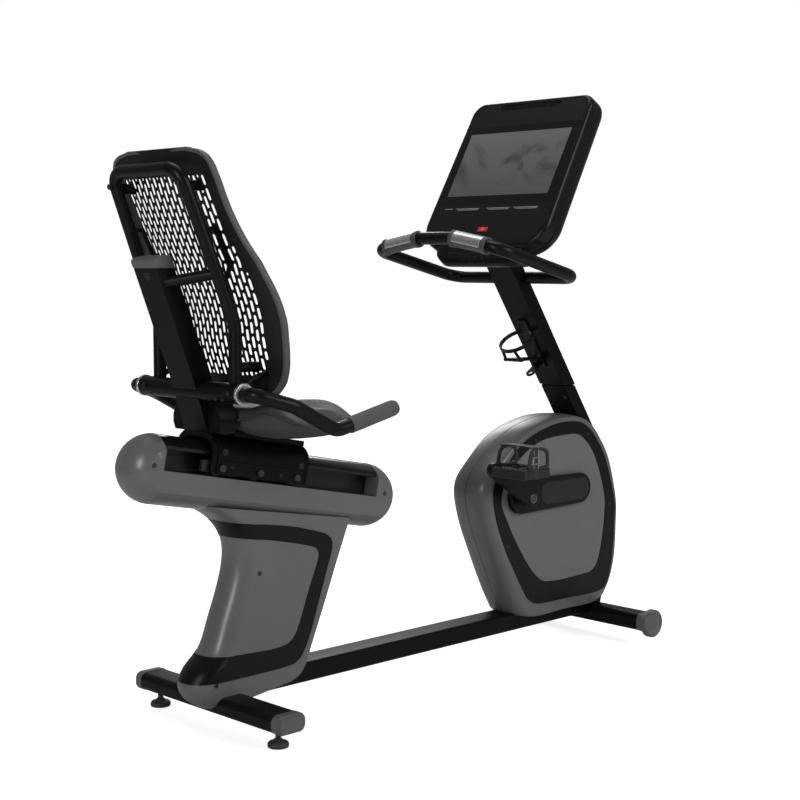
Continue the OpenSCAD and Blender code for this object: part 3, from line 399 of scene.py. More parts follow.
def solid_sheet(loops, lift):
    """A flat shape, from its edge and its holes, made solid by a lift square to it."""
    mesh = bpy.data.meshes.new("sheet")
    with editing(mesh) as work:
        edges = []
        for loop in loops:
            verts = [work.verts.new(p) for p in loop]
            edges += [work.edges.new((verts[i - 1], verts[i])) for i in range(len(verts))]
        bmesh.ops.triangle_fill(work, edges=edges, use_beauty=True)
        grown = bmesh.ops.extrude_face_region(work, geom=list(work.faces))
        moved = [v for v in grown["geom"] if isinstance(v, bmesh.types.BMVert)]
        bmesh.ops.translate(work, verts=moved, vec=lift)
        bmesh.ops.recalc_face_normals(work, faces=work.faces)
        bmesh.ops.dissolve_limit(work, angle_limit=0.01, verts=work.verts, edges=work.edges)
    return mesh


def slab(name, outline, side, a, b, material, width, segments=3, holes=(), body="frame",
         slot=None, angle=35):
    """A flat outline in x and z, made solid from y = a to y = b on one side, its edges rounded."""
    y0, y1 = sorted((side * a, side * b))
    loops = [[at(p[0], y0, p[1]) for p in loop] for loop in (outline, *holes)]
    mesh = solid_sheet(loops, (0, (y1 - y0) * MM, 0))
    return soften(piece(name, mesh, material, body, slot, angle), width, segments, angle)


def circle(centre, side, up, radius, sides):
    """Points round a centre, in the plane of two directions."""
    return [centre + (side * cos(2 * pi * k / sides) + up * sin(2 * pi * k / sides)) * radius
            for k in range(sides)]


def arc(x, y, r, start, turn, n):
    """Points round x, y, from the start angle through the turn, in degrees."""
    return [(x + r * cos(radians(start + turn * k / n)), y + r * sin(radians(start + turn * k / n)))
            for k in range(n + 1)]


def round_rect(x0, x1, y0, y1, r, n=6):
    return (arc(x1 - r, y0 + r, r, -90, 90, n) + arc(x1 - r, y1 - r, r, 0, 90, n)
            + arc(x0 + r, y1 - r, r, 90, 90, n) + arc(x0 + r, y0 + r, r, 180, 90, n))


def steps_between(a, b, n):
    return [a + (b - a) * k / n for k in range(n + 1)]


def tube(name, points, diameter, material, body, slot=None, sides=28, caps=True):
    """A round tube along points, in metres, swept with frames that don't twist."""
    rings = []
    for i, p in enumerate(points):
        t = (points[min(i + 1, len(points) - 1)] - points[max(i - 1, 0)]).normalized()
        if i == 0:
            side = t.orthogonal().normalized()
        side = (side - t * side.dot(t)).normalized()
        rings.append(circle(p, side, t.cross(side), diameter * MM / 2, sides))
    return lofted(name, rings, material, body, slot, caps=caps)


def bent_path(p, radii, steps=10):
    """Points along straight runs with round bends at the corners."""
    out = [p[0]]
    for i in range(1, len(p) - 1):
        a, b = (p[i] - p[i - 1]).normalized(), (p[i + 1] - p[i]).normalized()
        r = radii[i] * MM
        turn = acos(max(-1, min(1, a.dot(b))))
        inward = (b - a * a.dot(b)).normalized()
        centre = p[i] - a * r * tan(turn / 2) + inward * r
        out += [centre - inward * r * cos(t) + a * r * sin(t) for t in steps_between(0, turn, steps)]
    return out + [p[-1]]


def lathe(name, profile, centre, axis, material, body, slot=None, sides=48, angle=35):
    """A turned shape: profile holds (radius, distance along axis) in millimetres."""
    axis = Vector(axis).normalized()
    side = axis.orthogonal().normalized()
    rings = [circle(centre + axis * d * MM, side, axis.cross(side), max(r, 0.01) * MM, sides)
             for r, d in profile]
    return lofted(name, rings, material, body, slot, angle)


def hex_bolt(name, centre, axis, size, body, material="bolt_steel"):
    """A round-headed socket screw on a washer, standing on centre along axis."""
    r = size / 2
    lathe(name, [(r * 1.35, 0), (r * 1.35, 0.8), (r * 1.28, 1.2), (r, 1.2), (r, 2.6),
                 (r * 0.9, 3.6), (r * 0.72, 4.1), (r * 0.5, 4.2), (r * 0.5, 2.0), (0, 2.0)],
          centre, axis, material, body, "steel_dark", 24, 30)


def copy_of(node, name, material, body, width=1.5, slot=None):
    """Stands for a CAD node with the same shape, its edges rounded in the mesh."""
    mesh = bpy.data.meshes.new(name)
    with editing(mesh, NODES[node].data) as work:
        work.transform(NODES[node].matrix_world)
        bmesh.ops.remove_doubles(work, verts=work.verts, dist=2e-6)
        bmesh.ops.dissolve_limit(work, angle_limit=radians(0.5), verts=work.verts,
                                 edges=work.edges)
    for attribute in [a for a in mesh.attributes if a.name == "custom_normal"]:
        mesh.attributes.remove(attribute)
    obj = soften(piece(name, mesh, material, body, slot), width)
    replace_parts(obj, node)


def on_rail(s, y, h):
    """A place on the rail: s along it from its rear end's centre, h square to it."""
    return at(-RAIL_BACK + s * cos(RAIL_SLOPE) + h * sin(RAIL_SLOPE), y,
              RAIL_Z - s * sin(RAIL_SLOPE) + h * cos(RAIL_SLOPE))


def at_crank(x, y, z):
    return at(CRANK_X + x, y, CRANK_Z + z)


body_of = {node: body for body, nodes in
           frame["record"]["behaviour"]["bodies"].items() for node in nodes}

# ---- finishes of the CAD nodes, and rounded edges on the plain ones ----

FINISH = {s["node"]: s["material_slot"] for s in frame["record"]["subparts"]}
SPECIAL = {"rail_cover": "cover_black", "console_face": "bezel_black"}
ROUNDED = {
    "rear_end_caps": 2.5, "front_end_caps": 2.5, "levelling_feet": 1.2, "main_beam": 2,
    "wheel_brackets": 1.2, "wheel_left": 1, "wheel_right": 1, "rail_housing": 1.2,
    "seat_rail": 1.2, "front_strut": 4, "console_post": 6, "post_socket": 6,
    "seat_spine": 3, "spine_cap": 4, "cross_tube": 1.2, "handle_collars": 1.4,
    "panel_mounts": 1, "seat_bracket": 2.5, "carriage_rollers": 1, "bottle_cage": 1.2,
    "lumbar_brackets": 1, "seat_carriage": 1.5, "crank_axle": 1, "rear_stabilizer": 1,
    "front_stabilizer": 1, "rail_cover": 1,
}
for node, obj in NODES.items():
    finish = SPECIAL.get(node, FINISH[node])
    if node in ROUNDED:
        copy_of(node, node + "_finished", finish, body_of[node], ROUNDED[node], FINISH[node])
    else:
        obj.data.materials.clear()
        obj.data.materials.append(M[finish])

# ---- pedestal: a D-shaped tower with a black band ----

PEDESTAL_HALF_W = 55
PEDESTAL_BULGE = 52
# rear edge (x, z) and front edge (x, z) of each level
PEDESTAL_ROWS = [
    ((-46, 50), (176, 78)), ((-76, 70), (200, 88)), ((-92, 100), (216, 106)),
    ((-78, 132), (228, 132)), ((-46, 162), (240, 160)), ((-27, 190), (252, 188)),
    ((-8, 240), (272, 234)), ((15, 300), (294, 286)), ((29, 350), (312, 330)),
    ((32, 392), (326, 362)), ((20, 430), (338, 390)), ((-6, 460), (346, 408)),
    ((-44, 486), (352, 420)), ((-62, 500), (356, 428)),
]


def pedestal_row(t):
    """Rear and front edge at level t, on a smooth line through the rows."""
    last = len(PEDESTAL_ROWS) - 1
    i = min(int(t), last - 1)
    p = [PEDESTAL_ROWS[min(max(i + k, 0), last)] for k in (-1, 0, 1, 2)]
    return [Vector([blend4(*[row[e][c] for row in p], t - i) for c in (0, 1)]) for e in (0, 1)]


def pedestal_ring(t):
    rear, front = pedestal_row(t)
    length = (front - rear).length
    along = (front - rear) / length
    corner = 11
    flat = [(PEDESTAL_BULGE + PEDESTAL_BULGE * x, PEDESTAL_HALF_W * y)
            for x, y in arc(0, 0, 1, 90, 180, 32)]
    side_run = [(PEDESTAL_BULGE + (length - corner - PEDESTAL_BULGE) * k / 4, PEDESTAL_HALF_W)
                for k in range(1, 4)]
    flat += [(u, -y) for u, y in side_run]
    for side, start in ((-1, -90), (1, 0)):
        flat += arc(length - corner, side * (PEDESTAL_HALF_W - corner), corner, start, 90, 6)
    flat += side_run[::-1]
    return [at(rear[0] + along[0] * u, y, rear[1] + along[1] * u) for u, y in flat]


levels = [k / 6 for k in range(6 * (len(PEDESTAL_ROWS) - 1) + 1)]
tower = lofted("pedestal", [pedestal_ring(t) for t in levels], "shroud_grey", angle=50)
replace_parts(tower, "pedestal_shroud")

BAND_OUTER = [
    (-36, 112), (60, 112), (150, 114), (184, 120), (206, 140), (228, 184), (256, 262), (278, 322),
    (292, 362), (292, 384), (276, 400), (249, 410), (180, 429), (100, 443), (48, 449),
]
BAND_INNER = [
    (70, 413), (100, 409), (160, 396), (228, 379), (246, 370), (252, 356), (246, 336), (222, 280),
    (196, 214), (178, 180), (154, 165), (110, 161), (60, 163), (4, 165.4),
]
BAND_PROUD = 1.2


def open_curve(points, steps):
    p = [Vector(q) for q in points]
    last = len(p) - 1
    out = [blend4(p[max(i - 1, 0)], p[i], p[i + 1], p[min(i + 2, last)], k / steps)
           for i in range(last) for k in range(steps)]
    return out + [p[-1]]


def band_wrap(levels):
    """The part of the band that goes round the tower's back, between two levels."""
    rings = []
    for t in levels:
        rear, front = pedestal_row(t)
        along = (front - rear).normalized()
        curve = [(PEDESTAL_BULGE + 14, -0.985, 0)]
        curve += [(PEDESTAL_BULGE + PEDESTAL_BULGE * x, y, x) for x, y in arc(0, 0, 1, 270, -180, 32)]
        curve += [(PEDESTAL_BULGE + 14, 0.985, 0)]
        rings.append([at(rear[0] + along[0] * (u + proud * out), (PEDESTAL_HALF_W + proud) * v,
                         rear[1] + along[1] * (u + proud * out))
                      for proud, points in ((BAND_PROUD, curve), (-2, curve[::-1]))
                      for u, v, out in points])
    points, faces = loft(rings, close_ends=False)
    n = len(rings[0])
    for start in (0, (len(rings) - 1) * n):
        for k in range(n // 2 - 1):
            faces.append((start + k, start + k + 1, start + n - 2 - k, start + n - 1 - k))
    return points, faces


band_outline = open_curve(BAND_OUTER, 5) + open_curve(BAND_INNER, 5)
for side, label in SIDES:
    slab("pedestal_band_" + label, band_outline, side, PEDESTAL_HALF_W - 1,
         PEDESTAL_HALF_W + BAND_PROUD, "trim_black", 0.6, 2)
for label, low_t, high_t in (("lower", 2.38, 4.12), ("upper", 9.7, 10.93)):
    band = piece("pedestal_wrap_" + label,
                 mesh_of("wrap", *band_wrap(steps_between(low_t, high_t, 10))), "trim_black")
    if label == "lower":
        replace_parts(band, "pedestal_band")

# ---- drive shroud: two moulded halves ----

SIDE_OUTLINE = [
    (-102, 27), (-69, 73), (20, 147), (133, 183), (227, 187), (287, 169), (333, 124), (373, 61),
    (405, -44), (407, -119), (399, -214), (370, -286), (320, -321), (190, -323), (60, -322),
    (20, -284), (-53, -141), (-91, -49),
]
MIDDLE_OUTLINE = [
    (-131, 27), (-92, 84), (18, 160), (130, 191), (229, 195), (292, 175), (341, 127), (381, 65),
    (413, -43), (415, -119), (407, -215), (374, -292), (320, -325), (190, -327), (44, -326),
    (-6, -289), (-79, -144), (-120, -47),
]
RING_OUTER = [
    (-94, 27), (-62, 68), (24, 139), (133, 174), (226, 178), (279, 160), (322, 118), (359, 61),
    (397, -48), (399, -106), (391, -203), (371, -272), (330, -296), (197, -295), (84, -293),
    (48, -279), (27, -257), (-45, -138), (-83, -50),
]
RING_INNER = [
    (-65, 3), (-21, 77), (77, 134), (201, 146), (257, 134), (311, 77), (351, -23), (355, -82),
    (345, -150), (330, -205), (308, -232), (270, -240), (139, -241), (82, -226), (26, -168),
    (-40, -66),
]
SEAM = 0.5


def crank_frame(points):
    return [(CRANK_X + p[0], CRANK_Z + p[1]) for p in points]


side_curve = closed_curve(SIDE_OUTLINE, 8)
middle_curve = closed_curve(MIDDLE_OUTLINE, 8)


def shroud_ring(side, angle, shrink=1.0):
    y = side * max(SHROUD_HALF_W * sin(radians(angle)), SEAM)
    centre = Vector((150, -70))
    flat = [s + (m - s) * cos(radians(angle)) for s, m in zip(side_curve, middle_curve)]
    flat = [centre + (p - centre) * shrink for p in flat]
    return [at_crank(p[0], y, p[1]) for p in flat]


for side, label in SIDES:
    rings = [shroud_ring(side, 0, 0.994)]
    rings += [shroud_ring(side, a) for a in (1.2, 4, 10, 18, 26, 34, 42, 50, 58, 66, 74, 81, 86, 90)]
    half = lofted("drive_shroud_half_" + label, rings, "shroud_grey", angle=32)
    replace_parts(half, "drive_shroud_" + label)

ring_outer = closed_curve(RING_OUTER, 8)
ring_inner = closed_curve(RING_INNER, 8)
inner_centre = sum(ring_inner, Vector((0, 0))) / len(ring_inner)
panel_outline = [inner_centre + (p - inner_centre) * 0.994 for p in ring_inner]
BOSS_R = 44
BOSS_L = 235


def pill(r, x0, x1, r1=None):
    return arc(x0, 0, r, 90, 180, 24) + arc(x1, 0, r1 or r, -90, 180, 24)


SIDE_SCREWS = [(67, 139), (279, 139), (373, -58), (-40, -127), (59, -263)]


def screw_dimple(name, centre, axis, size, body="frame"):
    """A recessed screw: a shallow ring round a dark head with a small round hollow in its middle."""
    r = size / 2
    return lathe(name, [(r * 1.5, -0.3), (r * 1.5, 0.5), (r * 1.25, 0.9), (r * 1.05, 0.2),
                        (r * 0.95, -0.1), (r * 0.8, 0.5), (r * 0.35, 0.7), (r * 0.3, -0.2),
                        (0, -0.2)], centre, axis, "bolt_steel", body, "steel_dark", 20, 30)


for side, label in SIDES:
    shown = SHROUD_HALF_W + PLATE_T
    ring = slab("side_ring_" + label, crank_frame(ring_outer), side, SHROUD_HALF_W - 1, shown,
                "trim_black", 1.0, holes=[crank_frame(ring_inner)])
    panel = slab("side_panel_" + label, crank_frame(panel_outline), side, SHROUD_HALF_W - 1,
                 shown - 0.2, "panel_grey", 1.0)
    boss = slab("crank_boss_" + label, crank_frame(pill(BOSS_R, 0, BOSS_L, BOSS_R - 4)), side,
                shown - 1, BOSS_Y, "trim_black", 3.5, 5, angle=40)
    slab("boss_inset_" + label, crank_frame(pill(29, 100, 236)), side, BOSS_Y - 1, BOSS_Y + 0.5,
         "cover_black", 1.2, slot="trim_black")
    for k, (x, z) in enumerate(SIDE_SCREWS):
        screw_dimple(f"side_screw_{label}_{k}", at_crank(x, side * shown, z), (0, side, 0), 6)
    if side > 0:
        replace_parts(ring, "side_rings")
        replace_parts(panel, "side_panels")
        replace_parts(boss, "crank_bosses")

# ---- cranks ----


def hull_outline(r0, r1, length, angle, n=20):
    """Two round ends and the straight lines between them, turned by angle."""
    lean = degrees(asin((r0 - r1) / length))
    points = arc(0, 0, r0, 90 - lean, 180 + 2 * lean, n)
    points += arc(length, 0, r1, lean - 90, 180 - 2 * lean, n)
    c, s = cos(angle), sin(angle)
    return [(x * c - z * s, x * s + z * c) for x, z in points]


for side, label in SIDES:
    turn = -CRANK_ANGLE if side > 0 else pi - CRANK_ANGLE
    arm = slab("crank_arm_" + label, crank_frame(hull_outline(24, 18, CRANK_L, turn)), side, ARM_Y,
               ARM_Y + ARM_T, "frame_black", 4.5, 5, body="cranks", angle=40)
    if side > 0:
        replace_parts(arm, "crank_arms")
    face_y = side * (ARM_Y + ARM_T)
    lathe("axle_ring_" + label, [(12, -0.5), (12, 0.8), (11.4, 1.2), (8.2, 1.2), (7.8, 0.6)],
          at_crank(0, face_y, 0), (0, side, 0), "bolt_worn", "cranks", "steel_dark", 40)
    # the dark centre of the crank is painted shade
    lathe("axle_bolt_" + label, [(7.8, -0.4), (7.8, 0.7), (5, 0.9), (4.4, -1), (0, -1)],
          at_crank(0, face_y, 0), (0, side, 0), "painted_gap_shade", "cranks", "steel_dark", 6, 20)
    px, pz = CRANK_L * cos(turn), CRANK_L * sin(turn)
    lathe("pedal_spindle_" + label,
          [(15, -0.5), (15, 1.2), (14, 2), (9.5, 2), (9.5, 4.4), (7, 4.6), (7, 107), (6, 108)],
          at_crank(px, face_y, pz), (0, side, 0), "steel_dark", "cranks", "steel_dark", 32)


BOX_FACES = ((0, 1, 3, 2), (4, 6, 7, 5), (0, 4, 5, 1), (2, 3, 7, 6), (0, 2, 6, 4), (1, 5, 7, 3))


def boxes(name, corners):
    """One mesh of several boxes, each given by its eight corners."""
    return mesh_of(name, [p for eight in corners for p in eight],
                   [tuple(8 * k + i for i in f) for k in range(len(corners)) for f in BOX_FACES],
                   weld=False)


def blocks(name, bars, material, body, width=1.5, segments=3, slot=None):
    """Several rounded bars as one piece. Each is (x0, x1, y0, y1, z0, z1) in the row frame."""
    corners = [[(x, y, z) for x in b[:2] for y in b[2:4] for z in b[4:]] for b in bars]
    return soften(piece(name, boxes(name, corners), material, body, slot), width, segments)


# ---- pedals with toe loops and straps ----

PEDAL_Y = ARM_Y + ARM_T + 5
PEDAL_W = 108
LOOP_OUTER = [
    (-6, 14), (-7, 30), (-1, 50), (12, 62), (34, 64), (56, 60), (67, 48), (68, 28), (64, 12),
    (30, 10),
]
LOOP_INNER = [
    (4, 20), (4, 32), (8, 46), (18, 54), (36, 56), (50, 52), (58, 42), (59, 28), (56, 20), (30, 18),
]

for side, label in SIDES:
    cx = CRANK_X + side * CRANK_L * cos(CRANK_ANGLE)
    cz = CRANK_Z - side * CRANK_L * sin(CRANK_ANGLE)
    body = "pedal_" + label

    def spot(x, y, z):
        return at(cx + x, side * y, cz + z)

    def bar(x0, x1, y0, y1, z0, z1):
        a, b = spot(x0, y0, z0), spot(x1, y1, z1)
        return (a.x, b.x, min(a.y, b.y), max(a.y, b.y), a.z, b.z)

    y0, y1 = PEDAL_Y, PEDAL_Y + PEDAL_W
    bars = [bar(-24, -12, y0, y1, -13, 11), bar(60, 72, y0, y1, -13, 11),
            bar(-13, 61, y0, y0 + 12, -13, 10), bar(-13, 61, y1 - 12, y1, -13, 10),
            bar(-13, 61, y0 + 44, y0 + 54, -11, 8), bar(-13, 14, y0 + 8, y1 - 8, -12, 9)]
    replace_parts(blocks("pedal_body_" + label, bars, "pedal_black", body, 2.5), "pedal_" + label)
    ribs = [bar(x, x + 3, y0 + 3 + 9 * k, y0 + 8 + 9 * k, 9.5, 12)
            for x in (-22, -16, -8, 2, 62, 67) for k in range(12)]
    blocks("pedal_tread_" + label, ribs, "pedal_black", body, 0.6, 1)
    lathe("pedal_cap_" + label, [(11, -1), (11, 0.6), (10, 1.6), (3, 2.2), (0, 2.2)],
          spot(0, y1 - 0.8, 0), (0, side, 0), "pedal_black", body, "pedal_black", 32)
    lathe("pedal_collar_" + label, [(12.5, 0.4), (12.5, 1.8), (8, 1.8), (7.4, 0.4)],
          spot(0, y0 - 1.9, 0), (0, side, 0), "steel_dark", body, "pedal_black", 32)
    loops = [[(cx + p[0], cz + p[1]) for p in closed_curve(line, 5)]
             for line in (LOOP_OUTER, LOOP_INNER)]
    for where, y in (("inner", y0), ("outer", y1 - 6)):
        loop = slab(f"toe_loop_{where}_{label}", loops[0], side, y, y + 6, "strap_grey", 2,
                    holes=loops[1:], body=body, angle=40)
        if where == "inner":
            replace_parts(loop, "strap_" + label)
    # the strap over the toe, with light strips along its edges painted on as highlights
    span = steps_between(y0 + 0.5, y1 - 0.5, 24)

    def strap_z(y):
        v = (y - (y0 + y1) / 2) / (PEDAL_W / 2)
        return 61.5 + 3.2 * (1 - v ** 4)

    for part, x0, x1, t, mat, lift in (("band", 4, 30, 2.6, "strap_grey", 0),
                                       ("painted_highlight_a", 5.5, 7.5, 0.8, "print_and_highlight_grey", 2.3),
                                       ("painted_highlight_b", 26.5, 28.5, 0.8, "print_and_highlight_grey", 2.3)):
        rings = [[spot(x, y, strap_z(y) + lift + up)
                  for x, up in ((x0, 0), (x1, 0), (x1, t), (x0, t))] for y in span]
        soften(lofted(f"toe_strap_{part}_{label}", rings, mat, body, "strap_grey"), 0.4, 2)
    blocks("strap_drop_" + label, [bar(6, 26, y1 - 0.4, y1 + 1.8, -13, 63)], "strap_grey", body,
           0.8, 2)
    # light vertical strips on the strap's side, painted highlights
    blocks("strap_painted_highlights_" + label,
           [bar(x, x + 1.6, y1 + 1.5, y1 + 2.3, 12, 60) for x in (7, 23.4)], "print_and_highlight_grey", body,
           0.3, 1, "strap_grey")
    blocks("strap_buckle_" + label,
           [bar(x0, x1, y1 + 1.4, y1 + 3.6, z0, z1) for x0, x1, z0, z1 in
            ((3, 29, 24, 27), (3, 29, 40, 43), (3, 6, 24, 43), (26, 29, 24, 43))],
           "bolt_bright", body, 0.8, 2, "steel_dark")

# ---- console ----

FACE_X = CRANK_X - 96
FACE_Z = 1058
SCREEN_W, SCREEN_H, SCREEN_LOW = 343, 190, 150


def on_face(x, y, z=0):
    """A place on the console: x across its face, y up it, z towards the rider."""
    s, c = sin(CONSOLE_TILT), cos(CONSOLE_TILT)
    return at(FACE_X + s * y - c * z, -x, FACE_Z + c * y + s * z)


def face_outline(inset, n=14):
    w = CONSOLE_W / 2 - inset
    lean = 1.2
    up, low = CONSOLE_H - 34 - inset, 70 + inset
    return (arc(w - 70, low, 70, -90, 90 + lean, n) + arc(w - 41, up, 34, lean, 90 - lean, n)
            + arc(41 - w, up, 34, 90, 90 - lean, n) + arc(70 - w, low, 70, 180 - lean, 90 + lean, n))


def shell(name, profile, material, slot, replaced=None):
    rings = [[on_face(x, y, z) for x, y in face_outline(inset)] for inset, z in profile]
    obj = lofted(name, rings, material, slot=slot, angle=40)
    if replaced:
        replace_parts(obj, replaced)
    return obj


def face_plate(name, outline, z0, z1, material, slot, holes=(), width=0.4):
    """A flat piece lying on the console's face."""
    loops = [[on_face(x, y, z0) for x, y in loop] for loop in (outline, *holes)]
    mesh = solid_sheet(loops, on_face(0, 0, z1) - on_face(0, 0, z0))
    obj = piece(name, mesh, material, slot=slot)
    return soften(obj, width, 3) if width else obj


shell("console_shell", [(12, -4), (9.6, -4), (9.4, -1.2), (8.6, -0.3), (7, -0.2), (5, -0.9),
                        (3, -2.4), (1.4, -4.8), (0.4, -8), (0, -12), (0, -24), (0, -34.4),
                        (0.3, -35.4), (1.2, -36)], "console_black", "console_black",
      "console_back")
# the groove between the shells is painted dark as shade
shell("console_seam", [(2.6, -35), (2.6, -38.4)], "painted_gap_shade", "console_black")
shell("console_rear_shell", [(1.2, -37.4), (0.3, -37.9), (0, -38.8), (0.4, -46), (2, -53),
                             (5, -59), (9.5, -65), (15, -70.5), (20, -74.6), (24, -76.6),
                             (28, -77.6), (33, -78)], "console_black", "console_black")
vent_hole = round_rect(-103, 103, 411, 427, 7)
button_hole = round_rect(-18.5, 18.5, 41.5, 58.5, 3)
face = face_plate("console_face_panel", face_outline(9.9), -3.4, -0.2, "bezel_black",
                  "console_black", [vent_hole, button_hole], 0.5)
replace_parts(face, "console_face")
# a dark sheet at the bottom of the vent, painted shade
face_plate("vent_floor", round_rect(-104, 104, 410, 428, 7), -5, -3.2, "painted_gap_shade",
           "console_black", width=0)
fins = [[on_face(x + a, b, c) for a in (-1.5, 1.5) for b in (411.4, 426.6) for c in (-3.6, -0.9)]
        for x in steps_between(-99.5, 99.5, 34)]
soften(piece("vent_fins", boxes("fins", fins), "console_black"), 0.5, 2)
face_plate("screen_border", round_rect(-197, 197, 126, 362, 5), -1, 0.1, "border_glass",
           "console_black", width=0.2)
screen = face_plate("display", round_rect(-SCREEN_W / 2, SCREEN_W / 2, SCREEN_LOW,
                                          SCREEN_LOW + SCREEN_H, 1), -1.5, 0.3, "screen_dark",
                    "screen_dark", width=0.1)
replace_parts(screen, "console_screen")
for k, (x0, x1) in enumerate(((-162, -133), (-123, -41), (-14, 63), (77, 157))):
    face_plate(f"status_mark_{k}", round_rect(x0, x1, 111, 113, 0.9, 3), -0.6, 0.05, "print_and_highlight_grey",
               "console_black", width=0)
    if k:
        face_plate(f"status_mark_low_{k}", round_rect(x0 + 8, x1 - 2, 107.4, 109.2, 0.8, 3), -0.6,
                   0.05, "print_and_highlight_grey", "console_black", width=0)
button = face_plate("stop_key", round_rect(-16.5, 16.5, 43.5, 56.5, 2.5), -3, 1.2, "button_red",
                    "button_red", width=0.8)
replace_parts(button, "stop_button")
face_plate("stop_key_mark", arc(0, 50, 4.4, 0, 348.75, 31), 1.0, 1.32, "mark_white", "button_red",
           [arc(0, 50, 2.7, 0, 348.75, 31)], 0)

# the chin under the face
CHIN_ROWS = [
    (1006, 838, 904, 108, 22), (1007, 831, 911, 116, 26), (1009.5, 826, 916, 122, 28),
    (1014, 823.4, 918, 128, 30), (1020, 823, 916, 135, 30), (1028, 824, 911, 145, 30),
    (1036, 826.5, 906, 153, 30), (1048, 831, 900, 157, 30), (1060, 836, 893, 158, 28),
    (1078, 846, 890, 158, 26),
]
chin = [[at(x, y, z) for x, y in round_rect(x0, x1, -half, half, r, 10)]
        for z, x0, x1, half, r in CHIN_ROWS]
lofted("console_chin", chin, "console_black", angle=50)


def chin_front(z, proud):
    return line_at([row[:2] for row in CHIN_ROWS], z) - proud


def chin_strip(name, half, z0, z1, proud, material, depth=3):
    rings = [[at(chin_front(z, proud) + x, y, z)
              for x, y in ((0, -half), (0, half), (depth, half), (depth, -half))]
             for z in steps_between(z0, z1, 8)]
    soften(lofted(name, rings, material, slot="console_black"), 0.5, 2)


# the groove round the chin strip is painted dark as shade
chin_strip("chin_groove", 97, 1014.5, 1044, 0.25, "painted_gap_shade")
chin_strip("chin_strip", 95, 1015.8, 1042.6, 1.0, "cover_black")
for k, y in enumerate((21, -1, -25)):
    lathe(f"chin_port_{k}", [(4.4, -1), (4.4, 0.5), (3.9, 0.9), (3.1, 0.9), (2.9, -0.5), (0, -0.5)],
          at(chin_front(1030, 1.0), y, 1030), (-1, 0, 0), "bolt_steel", "frame", "console_black",
          28)

# ---- handlebar, grips and contact plates ----

bar_corners = [(973, 0, 979), (973, 212, 979), (686, 212, 1050), (686, 52, 1077),
               (686, -52, 1077), (686, -212, 1050), (973, -212, 979), (973, 0, 979)]
bar = tube("handlebar_loop", bent_path([at(*p) for p in bar_corners],
                                       [0, 45, 40, 30, 30, 40, 45, 0], 12),
           BAR_D, "frame_black", "frame", "powder_black", 36, False)
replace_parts(bar, "console_handlebar")
GRIP_L = 118
for side, label in SIDES:
    start = at(686, side * 52, 1077)
    axis = (at(686, side * 212, 1050) - start).normalized()
    start = start + axis * 6 * MM
    rider = Vector((-1, 0, 0))
    up = axis.cross(rider) * (1 if side < 0 else -1)
    up = up if up.z > 0 else -up
    sleeve = lathe("hand_grip_" + label,
                   [(15.6, 0), (20, 0), (21, 1), (21, 10.6), (20.4, 11.6), (19.2, 11.8),
                    (19, 13), (19, GRIP_L - 13), (19.2, GRIP_L - 11.8), (20.4, GRIP_L - 11.6),
                    (21, GRIP_L - 10.6), (21, GRIP_L - 1), (20, GRIP_L), (15.6, GRIP_L)],
                   start, axis, "grip_sleeve", "frame", "grip_dark", 56)
    # the plate covers the half that faces the rider
    turns = [radians(18 + a) for a in steps_between(-89, 89, 40)]
    rings = [[start + (axis * d + (up * cos(a) + rider * sin(a)) * r) * MM
              for r, run in ((20.8, turns), (18.6, turns[::-1])) for a in run]
             for d in (12.4, 30, 60, 90, GRIP_L - 12.4)]
    sensor = soften(lofted("contact_plate_" + label, rings, "sensor_steel", angle=30), 0.5, 2, 30)
    if side > 0:
        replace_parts(sleeve, "grip_sleeves")
        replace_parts(sensor, "pulse_plates")

# ---- post: bolts at its joint ----

JOINT_Z = 659
POST_FOOT = 1598.2
for side in (1, -1):
    hex_bolt(f"post_bolt_{side + 1}", at(POST_FOOT - tan(POST_LEAN) * JOINT_Z, side * 28, JOINT_Z),
             (-cos(POST_LEAN), 0, -sin(POST_LEAN)), 10, "frame")

# ---- seat carriage: the arched end flanges and the bolts ----

CARRIAGE_OUT, CARRIAGE_LOW, CARRIAGE_TOP = 64.5, 7, 92


def arch(half, top, r, low):
    """y and height along an arch, from one foot over the top to the other."""
    right = [(half, low)] + arc(half - r, top - r, r, 0, 90, 12)
    return right + [(-y, h) for y, h in reversed(right)]


def arch_flange(name, s0, s1, grow, drop):
    outer = arch(CARRIAGE_OUT + grow, CARRIAGE_TOP + grow, 40 + grow, CARRIAGE_LOW)
    inner = arch(CARRIAGE_OUT - drop, CARRIAGE_TOP - drop, 40 - drop, CARRIAGE_LOW)[::-1]
    rings = [[on_rail(CARRIAGE_S + s, y, h) for y, h in outer + inner] for s in (s0, s1)]
    soften(lofted(name, rings, "powder_black", "seat"), 1.1)


arch_flange("carriage_rear_lip", -1, 6, 5, 4)
arch_flange("carriage_rear_rib", 15, 19, 3, 2)
arch_flange("carriage_front_lip", CARRIAGE_L - 7, CARRIAGE_L + 0.5, 2, 4)
for side, label in SIDES:
    for k, (s, h, size) in enumerate(((34, 56, 11), (CARRIAGE_L - 20, 47, 11), (58, 26, 7),
                                      (196, 22, 7))):
        hex_bolt(f"carriage_bolt_{label}_{k}", on_rail(CARRIAGE_S + s, side * 64.4, h),
                 (0, side, 0), size, "seat")
    # a pressed bead along the side, and the wiper block at the rear
    rings = [[on_rail(s, side * (64 + d), 36 + 2.4 * e)
              for d, e in ((0, -1.4), (1.1, -0.7), (1.5, 0), (1.1, 0.7), (0, 1.4))]
             for s in steps_between(CARRIAGE_S + 26, CARRIAGE_S + CARRIAGE_L - 14, 6)]
    lofted("carriage_bead_" + label, rings, "powder_black", "seat")
    rings = [[on_rail(s, side * y, h) for y, h in ((44, 8), (57, 8), (57, 34), (44, 34))]
             for s in (CARRIAGE_S - 16, CARRIAGE_S + 10)]
    soften(lofted("carriage_wiper_" + label, rings, "grip_dark", "seat"), 2)

